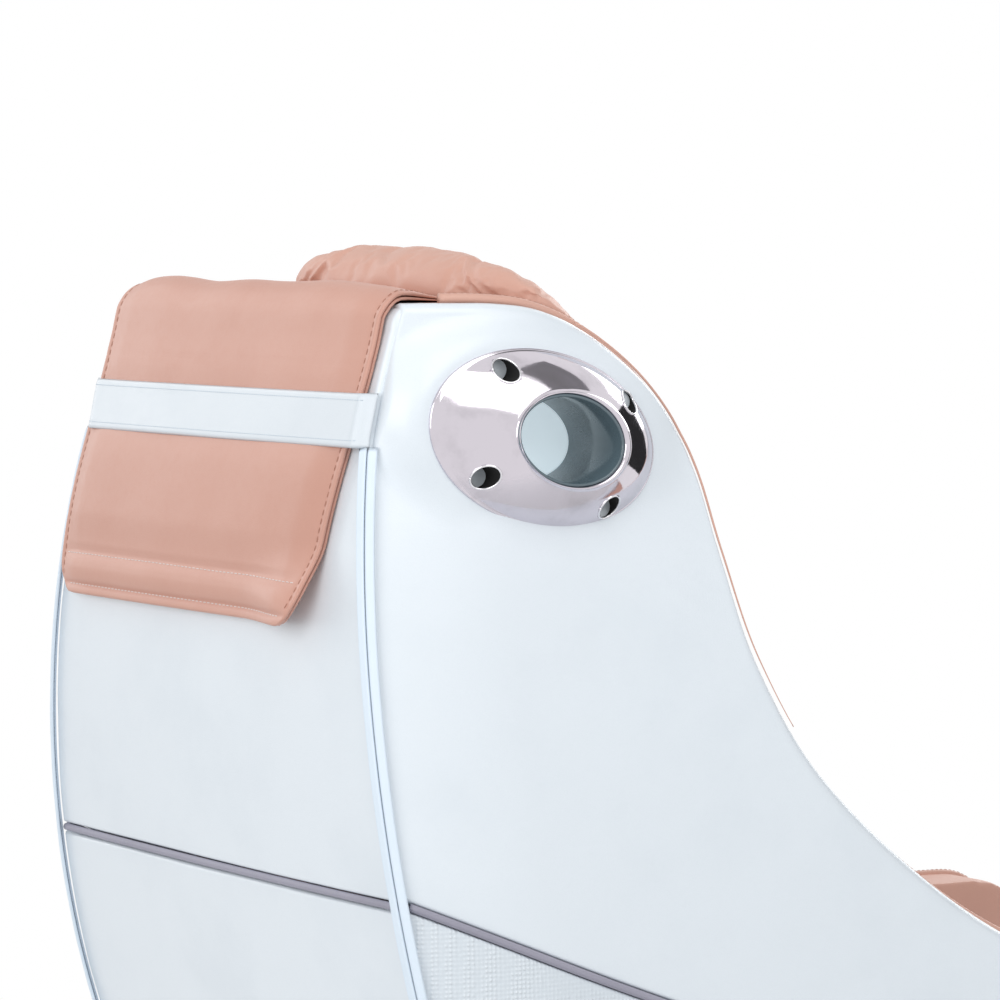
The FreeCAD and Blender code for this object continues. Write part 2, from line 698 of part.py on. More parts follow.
def flap_outline():
    """Front view of the flap, with rounded lower corners, pushed through along Y."""
    near = 400.0
    k = FLAP_CORNER_R * (1 - math.sqrt(0.5))
    top = SHELL_TOP_Z + 100.0
    half = FLAP_HALF
    low = FLAP_LOW_Z
    edges = [line(vec(-half, near, top), vec(half, near, top)),
             line(vec(half, near, top), vec(half, near, low + FLAP_CORNER_R)),
             arc(vec(half, near, low + FLAP_CORNER_R), vec(half - k, near, low + k),
                 vec(half - FLAP_CORNER_R, near, low)),
             line(vec(half - FLAP_CORNER_R, near, low), vec(FLAP_CORNER_R - half, near, low)),
             arc(vec(FLAP_CORNER_R - half, near, low), vec(k - half, near, low + k),
                 vec(-half, near, low + FLAP_CORNER_R)),
             line(vec(-half, near, low + FLAP_CORNER_R), vec(-half, near, top))]
    return prism(edges, vec(0, 500.0, 0))


def top_cap():
    """Padded top of the back, widened behind the linings to meet the side panels."""
    low = SHELL_TOP_Z - TOP_CAP_T
    front = CAP_FRONT_Y
    rear = rear_y(SHELL_TOP_Z) - REAR_PANEL_T - 3.0
    narrow = WING_INNER_HALF - 0.5
    split = rear_y(low) - BULGE_RUN + 1.0
    wide = PORT_BASE_X - PANEL_T_WING - 4.0
    rear_half = SHOULDER_HALF - PANEL_T_WING - 1.0
    corners = [vec(-narrow, front, low), vec(narrow, front, low), vec(narrow, split, low),
               vec(wide, split, low), vec(rear_half, rear, low), vec(-rear_half, rear, low),
               vec(-wide, split, low), vec(-narrow, split, low)]
    cap = Part.Face(Part.makePolygon(corners + corners[:1])).extrude(vec(0, 0, TOP_CAP_T))
    front_edges = [edge for edge in cap.Edges
                   if abs(edge.CenterOfMass.y - front) < 1.0 and edge.CenterOfMass.z > SHELL_TOP_Z - 1.0]
    return cap.makeFillet(CAP_ROUND, front_edges)


# Shell: padding

def pad_section(place, half, low, high, crown, side_bow):
    """Closed pad outline in a local plane: across, up and a flat back at low."""
    corner = side_bow * 1.6
    points = [(-half + corner, low), (half - corner, low), (half, (low + high) / 2),
              (half - corner, high), (0.0, high + crown), (-half + corner, high),
              (-half, (low + high) / 2)]
    spots = [place(a, b) for a, b in points]
    return Part.Wire([line(spots[0], spots[1]), arc(spots[1], spots[2], spots[3]),
                      arc(spots[3], spots[4], spots[5]), arc(spots[5], spots[6], spots[0])])


def cushion_loft(stations, half, low, high, crown, place_at):
    """Pad with drawn-in ends: stations are (distance, share of the full section)."""
    wires = []
    for distance, share in stations:
        inset = (1.0 - share) * 20.0
        wires.append(pad_section(place_at(distance), half - inset, low + inset * 0.3,
                                 high - inset, crown * share, 9.0))
    return loft(wires)


def seat_cushion():
    """Seat cushion with drawn-in ends and two sewn channels across it."""
    depth = SEAT_REAR_Y - CUSHION_FRONT_Y
    stations = [(0.0, 0.15), (depth * 0.06, 0.7), (depth * 0.2, 1.0), (depth * 0.5, 1.0),
                (depth * 0.8, 1.0), (depth * 0.95, 0.75), (depth, 0.15)]

    def place_at(distance):
        return lambda a, b: vec(a, CUSHION_FRONT_Y + distance, b)
    low = PAN_TOP_Z + GAP
    cushion = cushion_loft(stations, SEAT_HALF - 1.0, low, low + CUSHION_T, CUSHION_CROWN, place_at)
    channel_r = 60.0
    channel_deep = 7.0
    for share in (0.36, 0.68):
        y = CUSHION_FRONT_Y + depth * share
        z = low + CUSHION_T + CUSHION_CROWN + channel_r - channel_deep - 4.0
        cushion = cushion.cut(cylinder(channel_r, vec(-SEAT_HALF, y, z), vec(SEAT_HALF, y, z))
                              .common(box(-FAR, FAR, y - 12, y + 12, 0, z)))
    return cushion


def lean(shape):
    """Lean an upright back assembly about its foot."""
    shape = shape.copy()
    shape.translate(vec(0, LEAN_Y, LEAN_Z))
    shape.rotate(vec(0, LEAN_Y, LEAN_Z), vec(1, 0, 0), -LEAN_DEG)
    return shape


def back_pad():
    """Back pad, fuller at the small of the back, with sewn channels."""
    low_h = BACK_PAD_FOOT
    high_h = DRIVE_TOP - BACK_PAD_DROP
    length = high_h - low_h
    stations = [(0.0, 0.1), (0.05, 0.75), (0.18, 1.25), (0.35, 1.35), (0.6, 1.0),
                (0.85, 1.0), (0.96, 0.7), (1.0, 0.1)]
    wires = []
    for share_h, fill in stations:
        h = low_h + length * share_h
        inset = max(0.0, 1.0 - fill) * 20.0

        def place(a, b, h=h):
            return vec(a, -b, h)
        wires.append(pad_section(place, WING_INNER_HALF - GAP - inset, PAD_DEPTH,
                                 PAD_DEPTH + BACK_PAD_T * (0.5 + 0.5 * fill),
                                 BACK_PAD_CROWN * fill, 9.0))
    pad = loft(wires)
    for share_h in (0.3, 0.52, 0.74):
        h = low_h + length * share_h
        depth = PAD_DEPTH + BACK_PAD_T * 1.1 + BACK_PAD_CROWN + 60.0
        pad = pad.cut(cylinder(60.0, vec(-SEAT_HALF, -depth, h), vec(SEAT_HALF, -depth, h))
                      .common(box(-FAR, FAR, -400, 0, h - 12.0, h + 12.0)))
    return lean(pad)


def head_pillow():
    """Puffy pillow across the top of the back pad, thinner towards its ends."""
    wires = []
    middle_z = (PILLOW_TOP_Z + PILLOW_LOW_Z) / 2
    for share in (-1.0, -0.92, -0.6, 0.0, 0.6, 0.92, 1.0):
        x = share * PILLOW_HALF
        fill = math.sqrt(max(0.06, 1.0 - abs(share) ** 4))
        half_y = PILLOW_T / 2 * fill
        half_z = (PILLOW_TOP_Z - PILLOW_LOW_Z) / 2 * (0.35 + 0.65 * fill)
        front = vec(x, PILLOW_Y - half_y, middle_z)
        rear = vec(x, PILLOW_Y + half_y * 0.9, middle_z)
        top = vec(x, PILLOW_Y, middle_z + half_z)
        low = vec(x, PILLOW_Y, middle_z - half_z)
        k = 0.74
        wires.append(Part.Wire([
            arc(front, vec(x, PILLOW_Y - half_y * k, middle_z + half_z * k), top),
            arc(top, vec(x, PILLOW_Y + half_y * k * 0.9, middle_z + half_z * k), rear),
            arc(rear, vec(x, PILLOW_Y + half_y * k * 0.9, middle_z - half_z * k), low),
            arc(low, vec(x, PILLOW_Y - half_y * k, middle_z - half_z * k), front)]))
    pillow = loft(wires)
    behind = lean(box(-FAR, FAR, -PAD_DEPTH - BACK_PAD_T * 1.1 - BACK_PAD_CROWN - 2.0, 200, 0, 860))
    return pillow.cut(behind).cut(box(-FAR, FAR, CAP_FRONT_Y - GAP, 2 * FAR, PILLOW_LOW_Z - 100.0, SHELL_TOP_Z + 1.0))


# Shell: frame

def square_tube(start, end, width, height):
    """Straight square bar along X or Y between the ends of its centre line."""
    half_w = width / 2
    half_h = height / 2
    if abs(end.x - start.x) > abs(end.y - start.y):
        return box(start.x, end.x, start.y - half_w, start.y + half_w,
                   start.z - half_h, start.z + half_h)
    return box(start.x - half_w, start.x + half_w, start.y, end.y,
               start.z - half_h, start.z + half_h)


def chair_frame():
    """Welded tube frame: a ladder under the seat and two leaned uprights."""
    z = FRAME_Z + TUBE / 2
    front = CUSHION_FRONT_Y + 12.0
    rear = LEAN_Y - 30.0
    bars = []
    for side in (-1, 1):
        x = side * FRAME_X
        half_w = BAR_W / 2
        bars.append(square_tube(vec(x, front, z), vec(x, rear, z), BAR_W, TUBE))
        bars.append(lean(box(x - half_w, x + half_w, -15.0, UPRIGHT_REAR, -15.0, DRIVE_TOP)))
        bars.append(box(x - half_w, x + half_w, rear - 5.0, LEAN_Y + UPRIGHT_REAR - 2.0,
                        FRAME_Z, FRAME_Z + TUBE))
        lug_x = x - side * 4.0
        lug = box(lug_x - 4.0, lug_x + 4.0, PIVOT_Y - 22.0, PIVOT_Y + 22.0, PIVOT_Z, FRAME_Z + 2.0)
        lug = lug.fuse(cylinder(22.0, vec(lug_x - 4.0, PIVOT_Y, PIVOT_Z), vec(lug_x + 4.0, PIVOT_Y, PIVOT_Z)))
        bars.append(lug)
        for y in (-100.0, 150.0, 400.0):
            reach = wall_half(HIP_Z) - PANEL_T_ARM - 2 * GAP
            x0, x1 = sorted((side * (FRAME_X + 11.0), side * reach))
            bars.append(box(x0, x1, y - 12.0, y + 12.0, FRAME_Z + 6.0, FRAME_Z + TUBE - 6.0))
    for y in (front + TUBE / 2, ROD_PIN_Y + 55.0, rear - TUBE / 2):
        bars.append(square_tube(vec(-FRAME_X, y, z), vec(FRAME_X, y, z), TUBE, TUBE))
    half_h = HEAD_BAR_H / 2
    for h in (DRIVE_TOP - half_h, 32.0):
        bars.append(lean(box(-FRAME_X, FRAME_X, -14.0, UPRIGHT_REAR, h - half_h, h + half_h)))
    for side in (-1, 1):
        x0, x1 = sorted((side * 10.5, side * 16.5))
        ear = box(x0, x1, ROD_PIN_Y, ROD_PIN_Y + 45.0, ROD_PIN_Z - 7.0, ROD_PIN_Z + 13.0)
        ear = ear.fuse(cylinder(13.0, vec(x0, ROD_PIN_Y, ROD_PIN_Z), vec(x1, ROD_PIN_Y, ROD_PIN_Z)))
        bars.append(ear)
    bars.append(cylinder(LINK_PIN_R, vec(-16.5, ROD_PIN_Y, ROD_PIN_Z), vec(16.5, ROD_PIN_Y, ROD_PIN_Z)))
    frame = fuse_all(bars)
    for side in (-1, 1):
        x = side * (FRAME_X - 4.0)
        frame = frame.cut(cylinder(PIVOT_R + RUN, vec(x - 5.0, PIVOT_Y, PIVOT_Z), vec(x + 5.0, PIVOT_Y, PIVOT_Z)))
    return frame


def seat_pan():
    z = FRAME_Z + TUBE
    half = SEAT_HALF - 0.5
    pan = box(-half, half, CUSHION_FRONT_Y, SEAT_REAR_Y + 60.0, z, z + PAN_T)
    apron = box(-half, half, CUSHION_FRONT_Y, CUSHION_FRONT_Y + PAN_T, z - APRON_H, z + PAN_T)
    pan = pan.fuse(apron).removeSplitter()
    for side in (-1, 1):
        x = side * FRAME_X
        pan = pan.cut(box(x - 14.0, x + 14.0, LEAN_Y - 45.0, LEAN_Y + 60.0, z - 1.0, z + 10.0))
    return pan


# Massage drive

def guide_rails():
    rails = []
    for side in (-1, 1):
        x = side * GUIDE_X
        rails.append(lean(cylinder(GUIDE_R, vec(x, 0, 46.2), vec(x, 0, DRIVE_TOP - HEAD_BAR_H - RUN))))
    return Part.makeCompound(rails)


def carriage():
    """Block that climbs the guides, with a bored nut and two ears for the arms."""
    low = CARRIAGE_LOW
    high = CARRIAGE_LOW + CARRIAGE_H
    body = box(-GUIDE_X - 22.0, GUIDE_X + 22.0, -24.0, 22.0, low, high)
    window = box(-70.0, -24.0, -40.0, 40.0, low + 20.0, high - 20.0)
    body = cut_all(body, [window, mirrored(window)])
    middle = (low + high) / 2
    ears = []
    for side in (-1, 1):
        for off in (-15.0, 15.0):
            x = side * ROLLER_X + off
            ears.append(box(x - 4.0, x + 4.0, -52.0, -20.0, middle - 12.0, middle + 12.0))
        ears.append(cylinder(ARM_PIN_R, vec(side * ROLLER_X - 19.0, -ARM_PIN_DEPTH, middle),
                             vec(side * ROLLER_X + 19.0, -ARM_PIN_DEPTH, middle)))
    body = fuse_all([body] + ears)
    for side in (-1, 1):
        x = side * GUIDE_X
        body = body.cut(cylinder(GUIDE_R + 0.08, vec(x, 0, low - 1), vec(x, 0, high + 1)))
    body = body.cut(cylinder(SCREW_R + 0.08, vec(0, 0, low - 1), vec(0, 0, high + 1)))
    return lean(body)


def lead_screw():
    screw = cylinder(SCREW_R, vec(0, 0, 50.0), vec(0, 0, DRIVE_TOP - HEAD_BAR_H - GAP))
    return lean(screw.fuse(cylinder(14.0, vec(0, 0, 47.0), vec(0, 0, 60.0))))


def roller_arm(side):
    """Lever on the carriage's pin that carries one pair of kneading discs."""
    x = side * ROLLER_X
    arm_t = 7.0
    foot = (-ARM_PIN_DEPTH, CARRIAGE_LOW + CARRIAGE_H / 2)
    head = (-ROLLER_DEPTH, foot[1] + ARM_REACH)
    hub = cylinder(10.0, vec(x - arm_t, foot[0], foot[1]), vec(x + arm_t, foot[0], foot[1]))
    tip = cylinder(9.0, vec(x - arm_t, head[0], head[1]), vec(x + arm_t, head[0], head[1]))
    axle = cylinder(ROLLER_AXLE_R, vec(x - 24.0, head[0], head[1]), vec(x + 24.0, head[0], head[1]))
    corners = [vec(x - arm_t, foot[0] - 7.0, foot[1]), vec(x - arm_t, foot[0] + 7.0, foot[1]),
               vec(x - arm_t, head[0] + 7.0, head[1]), vec(x - arm_t, head[0] - 7.0, head[1])]
    bar = Part.Face(Part.makePolygon(corners + corners[:1])).extrude(vec(2 * arm_t, 0, 0))
    arm = fuse_all([hub, bar, tip, axle])
    bore = cylinder(ARM_PIN_R + RUN, vec(x - 10.0, foot[0], foot[1]), vec(x + 10.0, foot[0], foot[1]))
    return lean(arm.cut(bore))


def roller(side):
    """Pair of domed kneading discs on one axle, one each side of the arm."""
    x = side * ROLLER_X
    z = CARRIAGE_LOW + CARRIAGE_H / 2 + ARM_REACH
    y = -ROLLER_DEPTH
    discs = []
    for way in (-1, 1):
        x0, x1 = sorted((x + way * 7.5, x + way * 21.0))
        disc = cylinder(ROLLER_R, vec(x0, y, z), vec(x1, y, z))
        disc = disc.makeFillet(5.0, disc.Edges)
        discs.append(disc.cut(cylinder(ROLLER_AXLE_R + RUN, vec(x0 - 1, y, z), vec(x1 + 1, y, z))))
    return lean(Part.makeCompound(discs))


# Slider and recline drive

def slider_frame():
    """Welded frame on four runner blocks, with the recline pivots and the screw's nut."""
    z = SLIDER_Z + TUBE / 2
    front = -130.0
    rear = PIVOT_Y + 60.0
    bars = []
    for side in (-1, 1):
        x = side * RAIL_X
        bars.append(square_tube(vec(x, front, z), vec(x, rear, z), TUBE, TUBE))
        for y in (front + 40.0, rear - 40.0):
            block = box(x - 24.0, x + 24.0, y - 32.0, y + 32.0, DECK_Z + 6.0, SLIDER_Z)
            groove = box(x - 10.5, x + 10.5, y - 40.0, y + 40.0, DECK_Z, DECK_Z + RAIL_H + GAP)
            bars.append(block.cut(groove))
        plate_x = side * (FRAME_X - 14.0)
        plate = box(plate_x - 4.0, plate_x + 4.0, PIVOT_Y - 26.0, PIVOT_Y + 26.0, SLIDER_Z + 2.0, PIVOT_Z)
        plate = plate.fuse(cylinder(20.0, vec(plate_x - 4.0, PIVOT_Y, PIVOT_Z), vec(plate_x + 4.0, PIVOT_Y, PIVOT_Z)))
        bars.append(plate)
        x0, x1 = sorted((side * (FRAME_X - 18.0), side * (FRAME_X + 8.0)))
        bars.append(cylinder(PIVOT_R, vec(x0, PIVOT_Y, PIVOT_Z), vec(x1, PIVOT_Y, PIVOT_Z)))
    for y in (front + TUBE / 2, BODY_PIN_Y - 30.0, rear - TUBE / 2):
        bars.append(square_tube(vec(-RAIL_X, y, z), vec(RAIL_X, y, z), TUBE, TUBE))
    for side in (-1, 1):
        x0, x1 = sorted((side * 20.5, side * 27.0))
        ear = box(x0, x1, BODY_PIN_Y - 20.0, BODY_PIN_Y, SLIDER_Z + 4.0, BODY_PIN_Z + 12.0)
        ear = ear.fuse(cylinder(12.0, vec(x0, BODY_PIN_Y, BODY_PIN_Z), vec(x1, BODY_PIN_Y, BODY_PIN_Z)))
        bars.append(ear)
    bars.append(cylinder(LINK_PIN_R, vec(-27.0, BODY_PIN_Y, BODY_PIN_Z), vec(27.0, BODY_PIN_Y, BODY_PIN_Z)))
    nut_y = BODY_PIN_Y - 30.0
    bars.append(box(-18.0, 18.0, nut_y - 20.0, nut_y + 14.0, SCREW_Z - 13.0, SLIDER_Z + 2.0))
    frame = fuse_all(bars)
    return frame.cut(cylinder(SCREW_R + 0.08, vec(0, nut_y - 40.0, SCREW_Z), vec(0, nut_y + 40.0, SCREW_Z)))


def slide_rails():
    rails = []
    for side in (-1, 1):
        x = side * RAIL_X
        rail = box(x - 10.0, x + 10.0, STEP_Y + 12.0, BASE_REAR_Y - 60.0, DECK_Z, DECK_Z + RAIL_H)
        rails.append(rail)
    return Part.makeCompound(rails)


def slide_motor():
    """Gear motor behind the screw and the bearing block at its front end."""
    motor = cylinder(24.0, vec(0, MOTOR_FRONT_Y + 30.0, SCREW_Z + 12.0),
                     vec(0, MOTOR_FRONT_Y + 53.0, SCREW_Z + 12.0))
    gearbox = box(-26.0, 26.0, MOTOR_FRONT_Y, MOTOR_FRONT_Y + 32.0, DECK_Z, DECK_Z + 52.0)
    drive = gearbox.fuse(motor).removeSplitter()
    bearing = box(-16.0, 16.0, BEARING_Y - BEARING_T, BEARING_Y, DECK_Z, DECK_Z + 28.0)
    bearing = bearing.cut(cylinder(SCREW_R + RUN, vec(0, BEARING_Y - 30.0, SCREW_Z),
                                   vec(0, BEARING_Y + 10.0, SCREW_Z)))
    return Part.makeCompound([drive, bearing])


def slide_screw():
    start = BEARING_Y - BEARING_T - 6.0
    return cylinder(SCREW_R, vec(0, start, SCREW_Z), vec(0, MOTOR_FRONT_Y - GAP, SCREW_Z))


def link_direction():
    reach = vec(0, ROD_PIN_Y - BODY_PIN_Y, ROD_PIN_Z - BODY_PIN_Z)
    return reach.normalize()


def actuator_body():
    """Lower eye and open sleeve of the recline actuator."""
    u = link_direction()
    foot = vec(0, BODY_PIN_Y, BODY_PIN_Z)
    eye = cylinder(12.0, vec(-10.0, foot.y, foot.z), vec(10.0, foot.y, foot.z))
    sleeve = cylinder(17.0, foot + u * 8.0, foot + u * 92.0)
    body = eye.fuse(sleeve).removeSplitter()
    body = body.cut(cylinder(LINK_PIN_R + RUN, vec(-20.0, foot.y, foot.z), vec(20.0, foot.y, foot.z)))
    return body.cut(cylinder(9.0 + RUN, foot + u * 24.0, foot + u * 100.0))


def actuator_rod():
    """Rod whose upper eye is open: it clears its pin all round."""
    u = link_direction()
    foot = vec(0, BODY_PIN_Y, BODY_PIN_Z)
    head = vec(0, ROD_PIN_Y, ROD_PIN_Z)
    eye_r = LINK_PIN_R + OPEN_EYE_CLEARANCE + 5.0
    eye = cylinder(eye_r, vec(-9.0, head.y, head.z), vec(9.0, head.y, head.z))
    rod = eye.fuse(cylinder(9.0, foot + u * 28.0, head - u * (eye_r - 4.0))).removeSplitter()
    bore = LINK_PIN_R + OPEN_EYE_CLEARANCE
    return rod.cut(cylinder(bore, vec(-20.0, head.y, head.z), vec(20.0, head.y, head.z)))


# Base

def plan_wire(z, half_rear, half_front, rear_y_, front_y, corner):
    """Plan outline: rounded rear corners, slightly spread sides and an elliptic front."""
    depth = BASE_ROUND_Y - front_y
    curve = Part.Ellipse(vec(half_front, BASE_ROUND_Y, z), vec(0, BASE_ROUND_Y + depth, z),
                         vec(0, BASE_ROUND_Y, z))
    front = [curve.toShape(math.pi, 1.5 * math.pi), curve.toShape(1.5 * math.pi, 2 * math.pi)]
    k = corner * (1 - math.sqrt(0.5))
    left_front = vec(-half_front, BASE_ROUND_Y, z)
    right_front = vec(half_front, BASE_ROUND_Y, z)
    right_corner = vec(half_rear, rear_y_ - corner, z)
    left_corner = vec(-half_rear, rear_y_ - corner, z)
    right_rear = vec(half_rear - corner, rear_y_, z)
    left_rear = vec(-half_rear + corner, rear_y_, z)
    edges = front + [line(right_front, right_corner),
                     arc(right_corner, vec(half_rear - k, rear_y_ - k, z), right_rear),
                     line(right_rear, left_rear),
                     arc(left_rear, vec(-half_rear + k, rear_y_ - k, z), left_corner),
                     line(left_corner, left_front)]
    return Part.Wire(edges)


def plan_solid(low, high, inset):
    """Drafted block between two heights, inset all round."""
    wires = []
    for z in (low, high):
        draft = BASE_DRAFT * (RIM_Z - z) / (RIM_Z - BASE_LOW_Z)
        wires.append(plan_wire(z, BASE_HALF_REAR - inset - draft * 0.4,
                               BASE_HALF_FRONT - inset - draft,
                               BASE_REAR_Y - inset, BASE_FRONT_Y + inset + draft, BASE_CORNER_R))
    return loft(wires, True)


def bowl_solid(grow):
    """Oval bowl shape, grown by an offset."""
    wires = []
    depth = RIM_Z - BOWL_FLOOR_Z
    for share, fill in ((0.0, 0.66), (0.12, 0.8), (0.4, 0.91), (1.0, 1.0)):
        wires.append(ellipse_wire(0, BOWL_Y, BOWL_FLOOR_Z + depth * share - (grow if share == 0 else 0),
                                  BOWL_HALF_X * fill + grow, BOWL_HALF_Y * fill + grow))
    return loft(wires)


def base_tub():
    """Moulded base: drafted shell open underneath, stepped deck, bosses for the feet."""
    outer = plan_solid(BASE_LOW_Z, RIM_Z, 0.0)
    step = box(-500, 500, STEP_Y, BASE_REAR_Y + 50.0, DECK_Z, RIM_Z + 50.0)
    outer = outer.cut(step)
    top_edges = []
    for edge in outer.Edges:
        box_ = edge.BoundBox
        flat = box_.ZLength < 0.01
        if flat and (abs(box_.ZMin - RIM_Z) < 0.01 or abs(box_.ZMin - DECK_Z) < 0.01):
            if not (abs(box_.ZMin - DECK_Z) < 0.01 and box_.YLength < 0.01 and abs(box_.YMin - STEP_Y) < 0.01):
                top_edges.append(edge)
    outer = outer.makeFillet(BASE_FILLET, top_edges)
    inner = plan_solid(BASE_LOW_Z - 1.0, RIM_Z - BASE_WALL, BASE_WALL)
    inner = inner.cut(box(-500, 500, STEP_Y - BASE_WALL, BASE_REAR_Y + 50.0,
                          DECK_Z - BASE_WALL, RIM_Z + 50.0))
    tub = outer.cut(inner)
    bosses = []
    for x, y in FOOT_SPOTS:
        for side in (-1, 1):
            top = RIM_Z - 4.0 if y < STEP_Y else DECK_Z - 4.0
            bosses.append(cylinder(BOSS_R, vec(side * x, y, BASE_LOW_Z), vec(side * x, y, top)))
    tub = tub.multiFuse(bosses).removeSplitter()
    for x, y in FOOT_SPOTS:
        for side in (-1, 1):
            tub = tub.cut(cylinder(FOOT_STUD_R + 0.3, vec(side * x, y, 0), vec(side * x, y, 70.0)))
    tub = tub.cut(bowl_solid(BOWL_WALL + 1.0))
    for side in (-1, 1):
        tub = tub.cut(cylinder(JET_R + 24.0, vec(side * 150.0, BOWL_Y, JET_Z), vec(side * 270.0, BOWL_Y, JET_Z)))
        tub = tub.cut(cylinder(17.0, vec(side * FAUCET_X, FAUCET_Y, 250), vec(side * FAUCET_X, FAUCET_Y, 400))
                      if side == -1 else cylinder(9.0, vec(FAUCET_X, FAUCET_Y, 300), vec(FAUCET_X, FAUCET_Y, 400)))
    tub = tub.cut(cylinder(17.0, vec(0, SOCKET_Y, 300), vec(0, SOCKET_Y, 400)))
    tub = tub.cut(box(PANEL_X - 34.0, PANEL_X + 14.0, PANEL_Y - 45.0, PANEL_Y + 45.0, RIM_Z - 20.0, RIM_Z + 5.0))
    tub = tub.cut(cylinder(PIPE_R + GAP, vec(PIPE_X, 500, PIPE_Z), vec(PIPE_X, 600, PIPE_Z)))
    tub = tub.cut(box(-HATCH_HALF, HATCH_HALF, BASE_REAR_Y - 20.0, BASE_REAR_Y + 20.0,
                      HATCH_LOW_Z, HATCH_HIGH_Z))
    for x in INLET_XS:
        tub = tub.cut(cylinder(INLET_R + GAP, vec(x, 500, INLET_Z), vec(x, 600, INLET_Z)))
    tub = tub.cut(cylinder(9.0, vec(PIPE_X, 500, INLET_Z + 60.0), vec(PIPE_X, 600, INLET_Z + 60.0)))
    return tub


def foot_bowl():
    """Oval foot bath with a rolled flange, two flat jet pads, a drain and a lamp hole."""
    flange = Part.Face(ellipse_wire(0, BOWL_Y, RIM_Z, BOWL_HALF_X + BOWL_FLANGE,
                                    BOWL_HALF_Y + BOWL_FLANGE)).extrude(vec(0, 0, BOWL_FLANGE_T))
    rim = [edge for edge in flange.Edges if edge.BoundBox.ZMin > RIM_Z + BOWL_FLANGE_T - 0.01]
    flange = flange.makeFillet(5.0, rim)
    bowl = flange.fuse(bowl_solid(BOWL_WALL))
    cavity = bowl_solid(0.0)
    mouth = Part.Face(ellipse_wire(0, BOWL_Y, RIM_Z - 1.0, BOWL_HALF_X, BOWL_HALF_Y)).extrude(vec(0, 0, 30.0))
    for side in (-1, 1):
        pad = cylinder(JET_R + 16.0, vec(side * JET_PAD_X, BOWL_Y, JET_Z), vec(side * 300.0, BOWL_Y, JET_Z))
        boss = cylinder(JET_R + 16.0, vec(side * JET_PAD_X, BOWL_Y, JET_Z), vec(side * 222.0, BOWL_Y, JET_Z))
        cavity = cavity.cut(pad)
        bowl = bowl.fuse(boss)
    bowl = bowl.cut(cavity).cut(mouth)
    for side in (-1, 1):
        bowl = bowl.cut(cylinder(JET_R + GAP, vec(side * 140.0, BOWL_Y, JET_Z), vec(side * 300.0, BOWL_Y, JET_Z)))
    bowl = bowl.cut(cylinder(DRAIN_R + GAP, vec(0, BOWL_Y, 0), vec(0, BOWL_Y, 200)))
    bowl = bowl.cut(cylinder(LAMP_R, vec(LAMP_X, BOWL_Y, 0), vec(LAMP_X, BOWL_Y, 200)))
    return bowl


def bowl_lamp():
    lens = cylinder(LAMP_R + 5.0, vec(LAMP_X, BOWL_Y, BOWL_FLOOR_Z), vec(LAMP_X, BOWL_Y, BOWL_FLOOR_Z + 4.0))
    lens = lens.makeFillet(2.5, [lens.Edges[0]])
    stem = cylinder(LAMP_R - GAP, vec(LAMP_X, BOWL_Y, BOWL_FLOOR_Z - 22.0), vec(LAMP_X, BOWL_Y, BOWL_FLOOR_Z))
    return lens.fuse(stem).removeSplitter()


def jet_housings():
    """Two pump heads: flange, cup, closed back and motor can."""
    heads = []
    for side in (-1, 1):
        def along(x0, x1, r):
            a, b = sorted((side * x0, side * x1))
            return cylinder(r, vec(a, BOWL_Y, JET_Z), vec(b, BOWL_Y, JET_Z))
        head = fuse_all([along(JET_PAD_X - 4.0, JET_PAD_X, JET_R + 10.0),
                         along(JET_PAD_X - 4.0, JET_PAD_X + 40.0, JET_R),
                         along(JET_PAD_X + 40.0, JET_PAD_X + 92.0, JET_R - 3.0)])
        head = head.cut(along(JET_PAD_X - 10.0, JET_PAD_X + 30.0, JET_R - 4.0))
        heads.append(head.cut(along(JET_PAD_X + 20.0, JET_PAD_X + 36.0, 4.0 + RUN)))
    return Part.makeCompound(heads)


def jet_impeller(side):
    """Five-blade impeller on a short shaft."""
    def along(x0, x1, r):
        a, b = sorted((side * x0, side * x1))
        return cylinder(r, vec(a, BOWL_Y, JET_Z), vec(b, BOWL_Y, JET_Z))
    parts = [along(JET_PAD_X + 10.0, JET_PAD_X + 28.0, 8.0),
             along(JET_PAD_X + 27.0, JET_PAD_X + 35.5, 4.0)]
    for index in range(5):
        a, b = sorted((side * (JET_PAD_X + 11.0), side * (JET_PAD_X + 24.0)))
        blade = box(a, b, BOWL_Y - 1.25, BOWL_Y + 1.25, JET_Z + 5.0, JET_Z + JET_R - 7.0)
        blade.rotate(vec(0, BOWL_Y, JET_Z), vec(1, 0, 0), index * 72.0)
        parts.append(blade)
    return fuse_all(parts)


def jet_grilles():
    """Slotted face of each pump head."""
    grilles = []
    for side in (-1, 1):
        a, b = sorted((side * (JET_PAD_X - 4.0), side * JET_PAD_X))
        disc = cylinder(JET_R - 4.0 - GAP, vec(a, BOWL_Y, JET_Z), vec(b, BOWL_Y, JET_Z))
        for index in range(8):
            slot = box(a - 1, b + 1, BOWL_Y - 2.0, BOWL_Y + 2.0, JET_Z + 8.0, JET_Z + 22.0)
            slot.rotate(vec(0, BOWL_Y, JET_Z), vec(1, 0, 0), index * 45.0)
            disc = disc.cut(slot)
        grilles.append(disc)
    return Part.makeCompound(grilles)


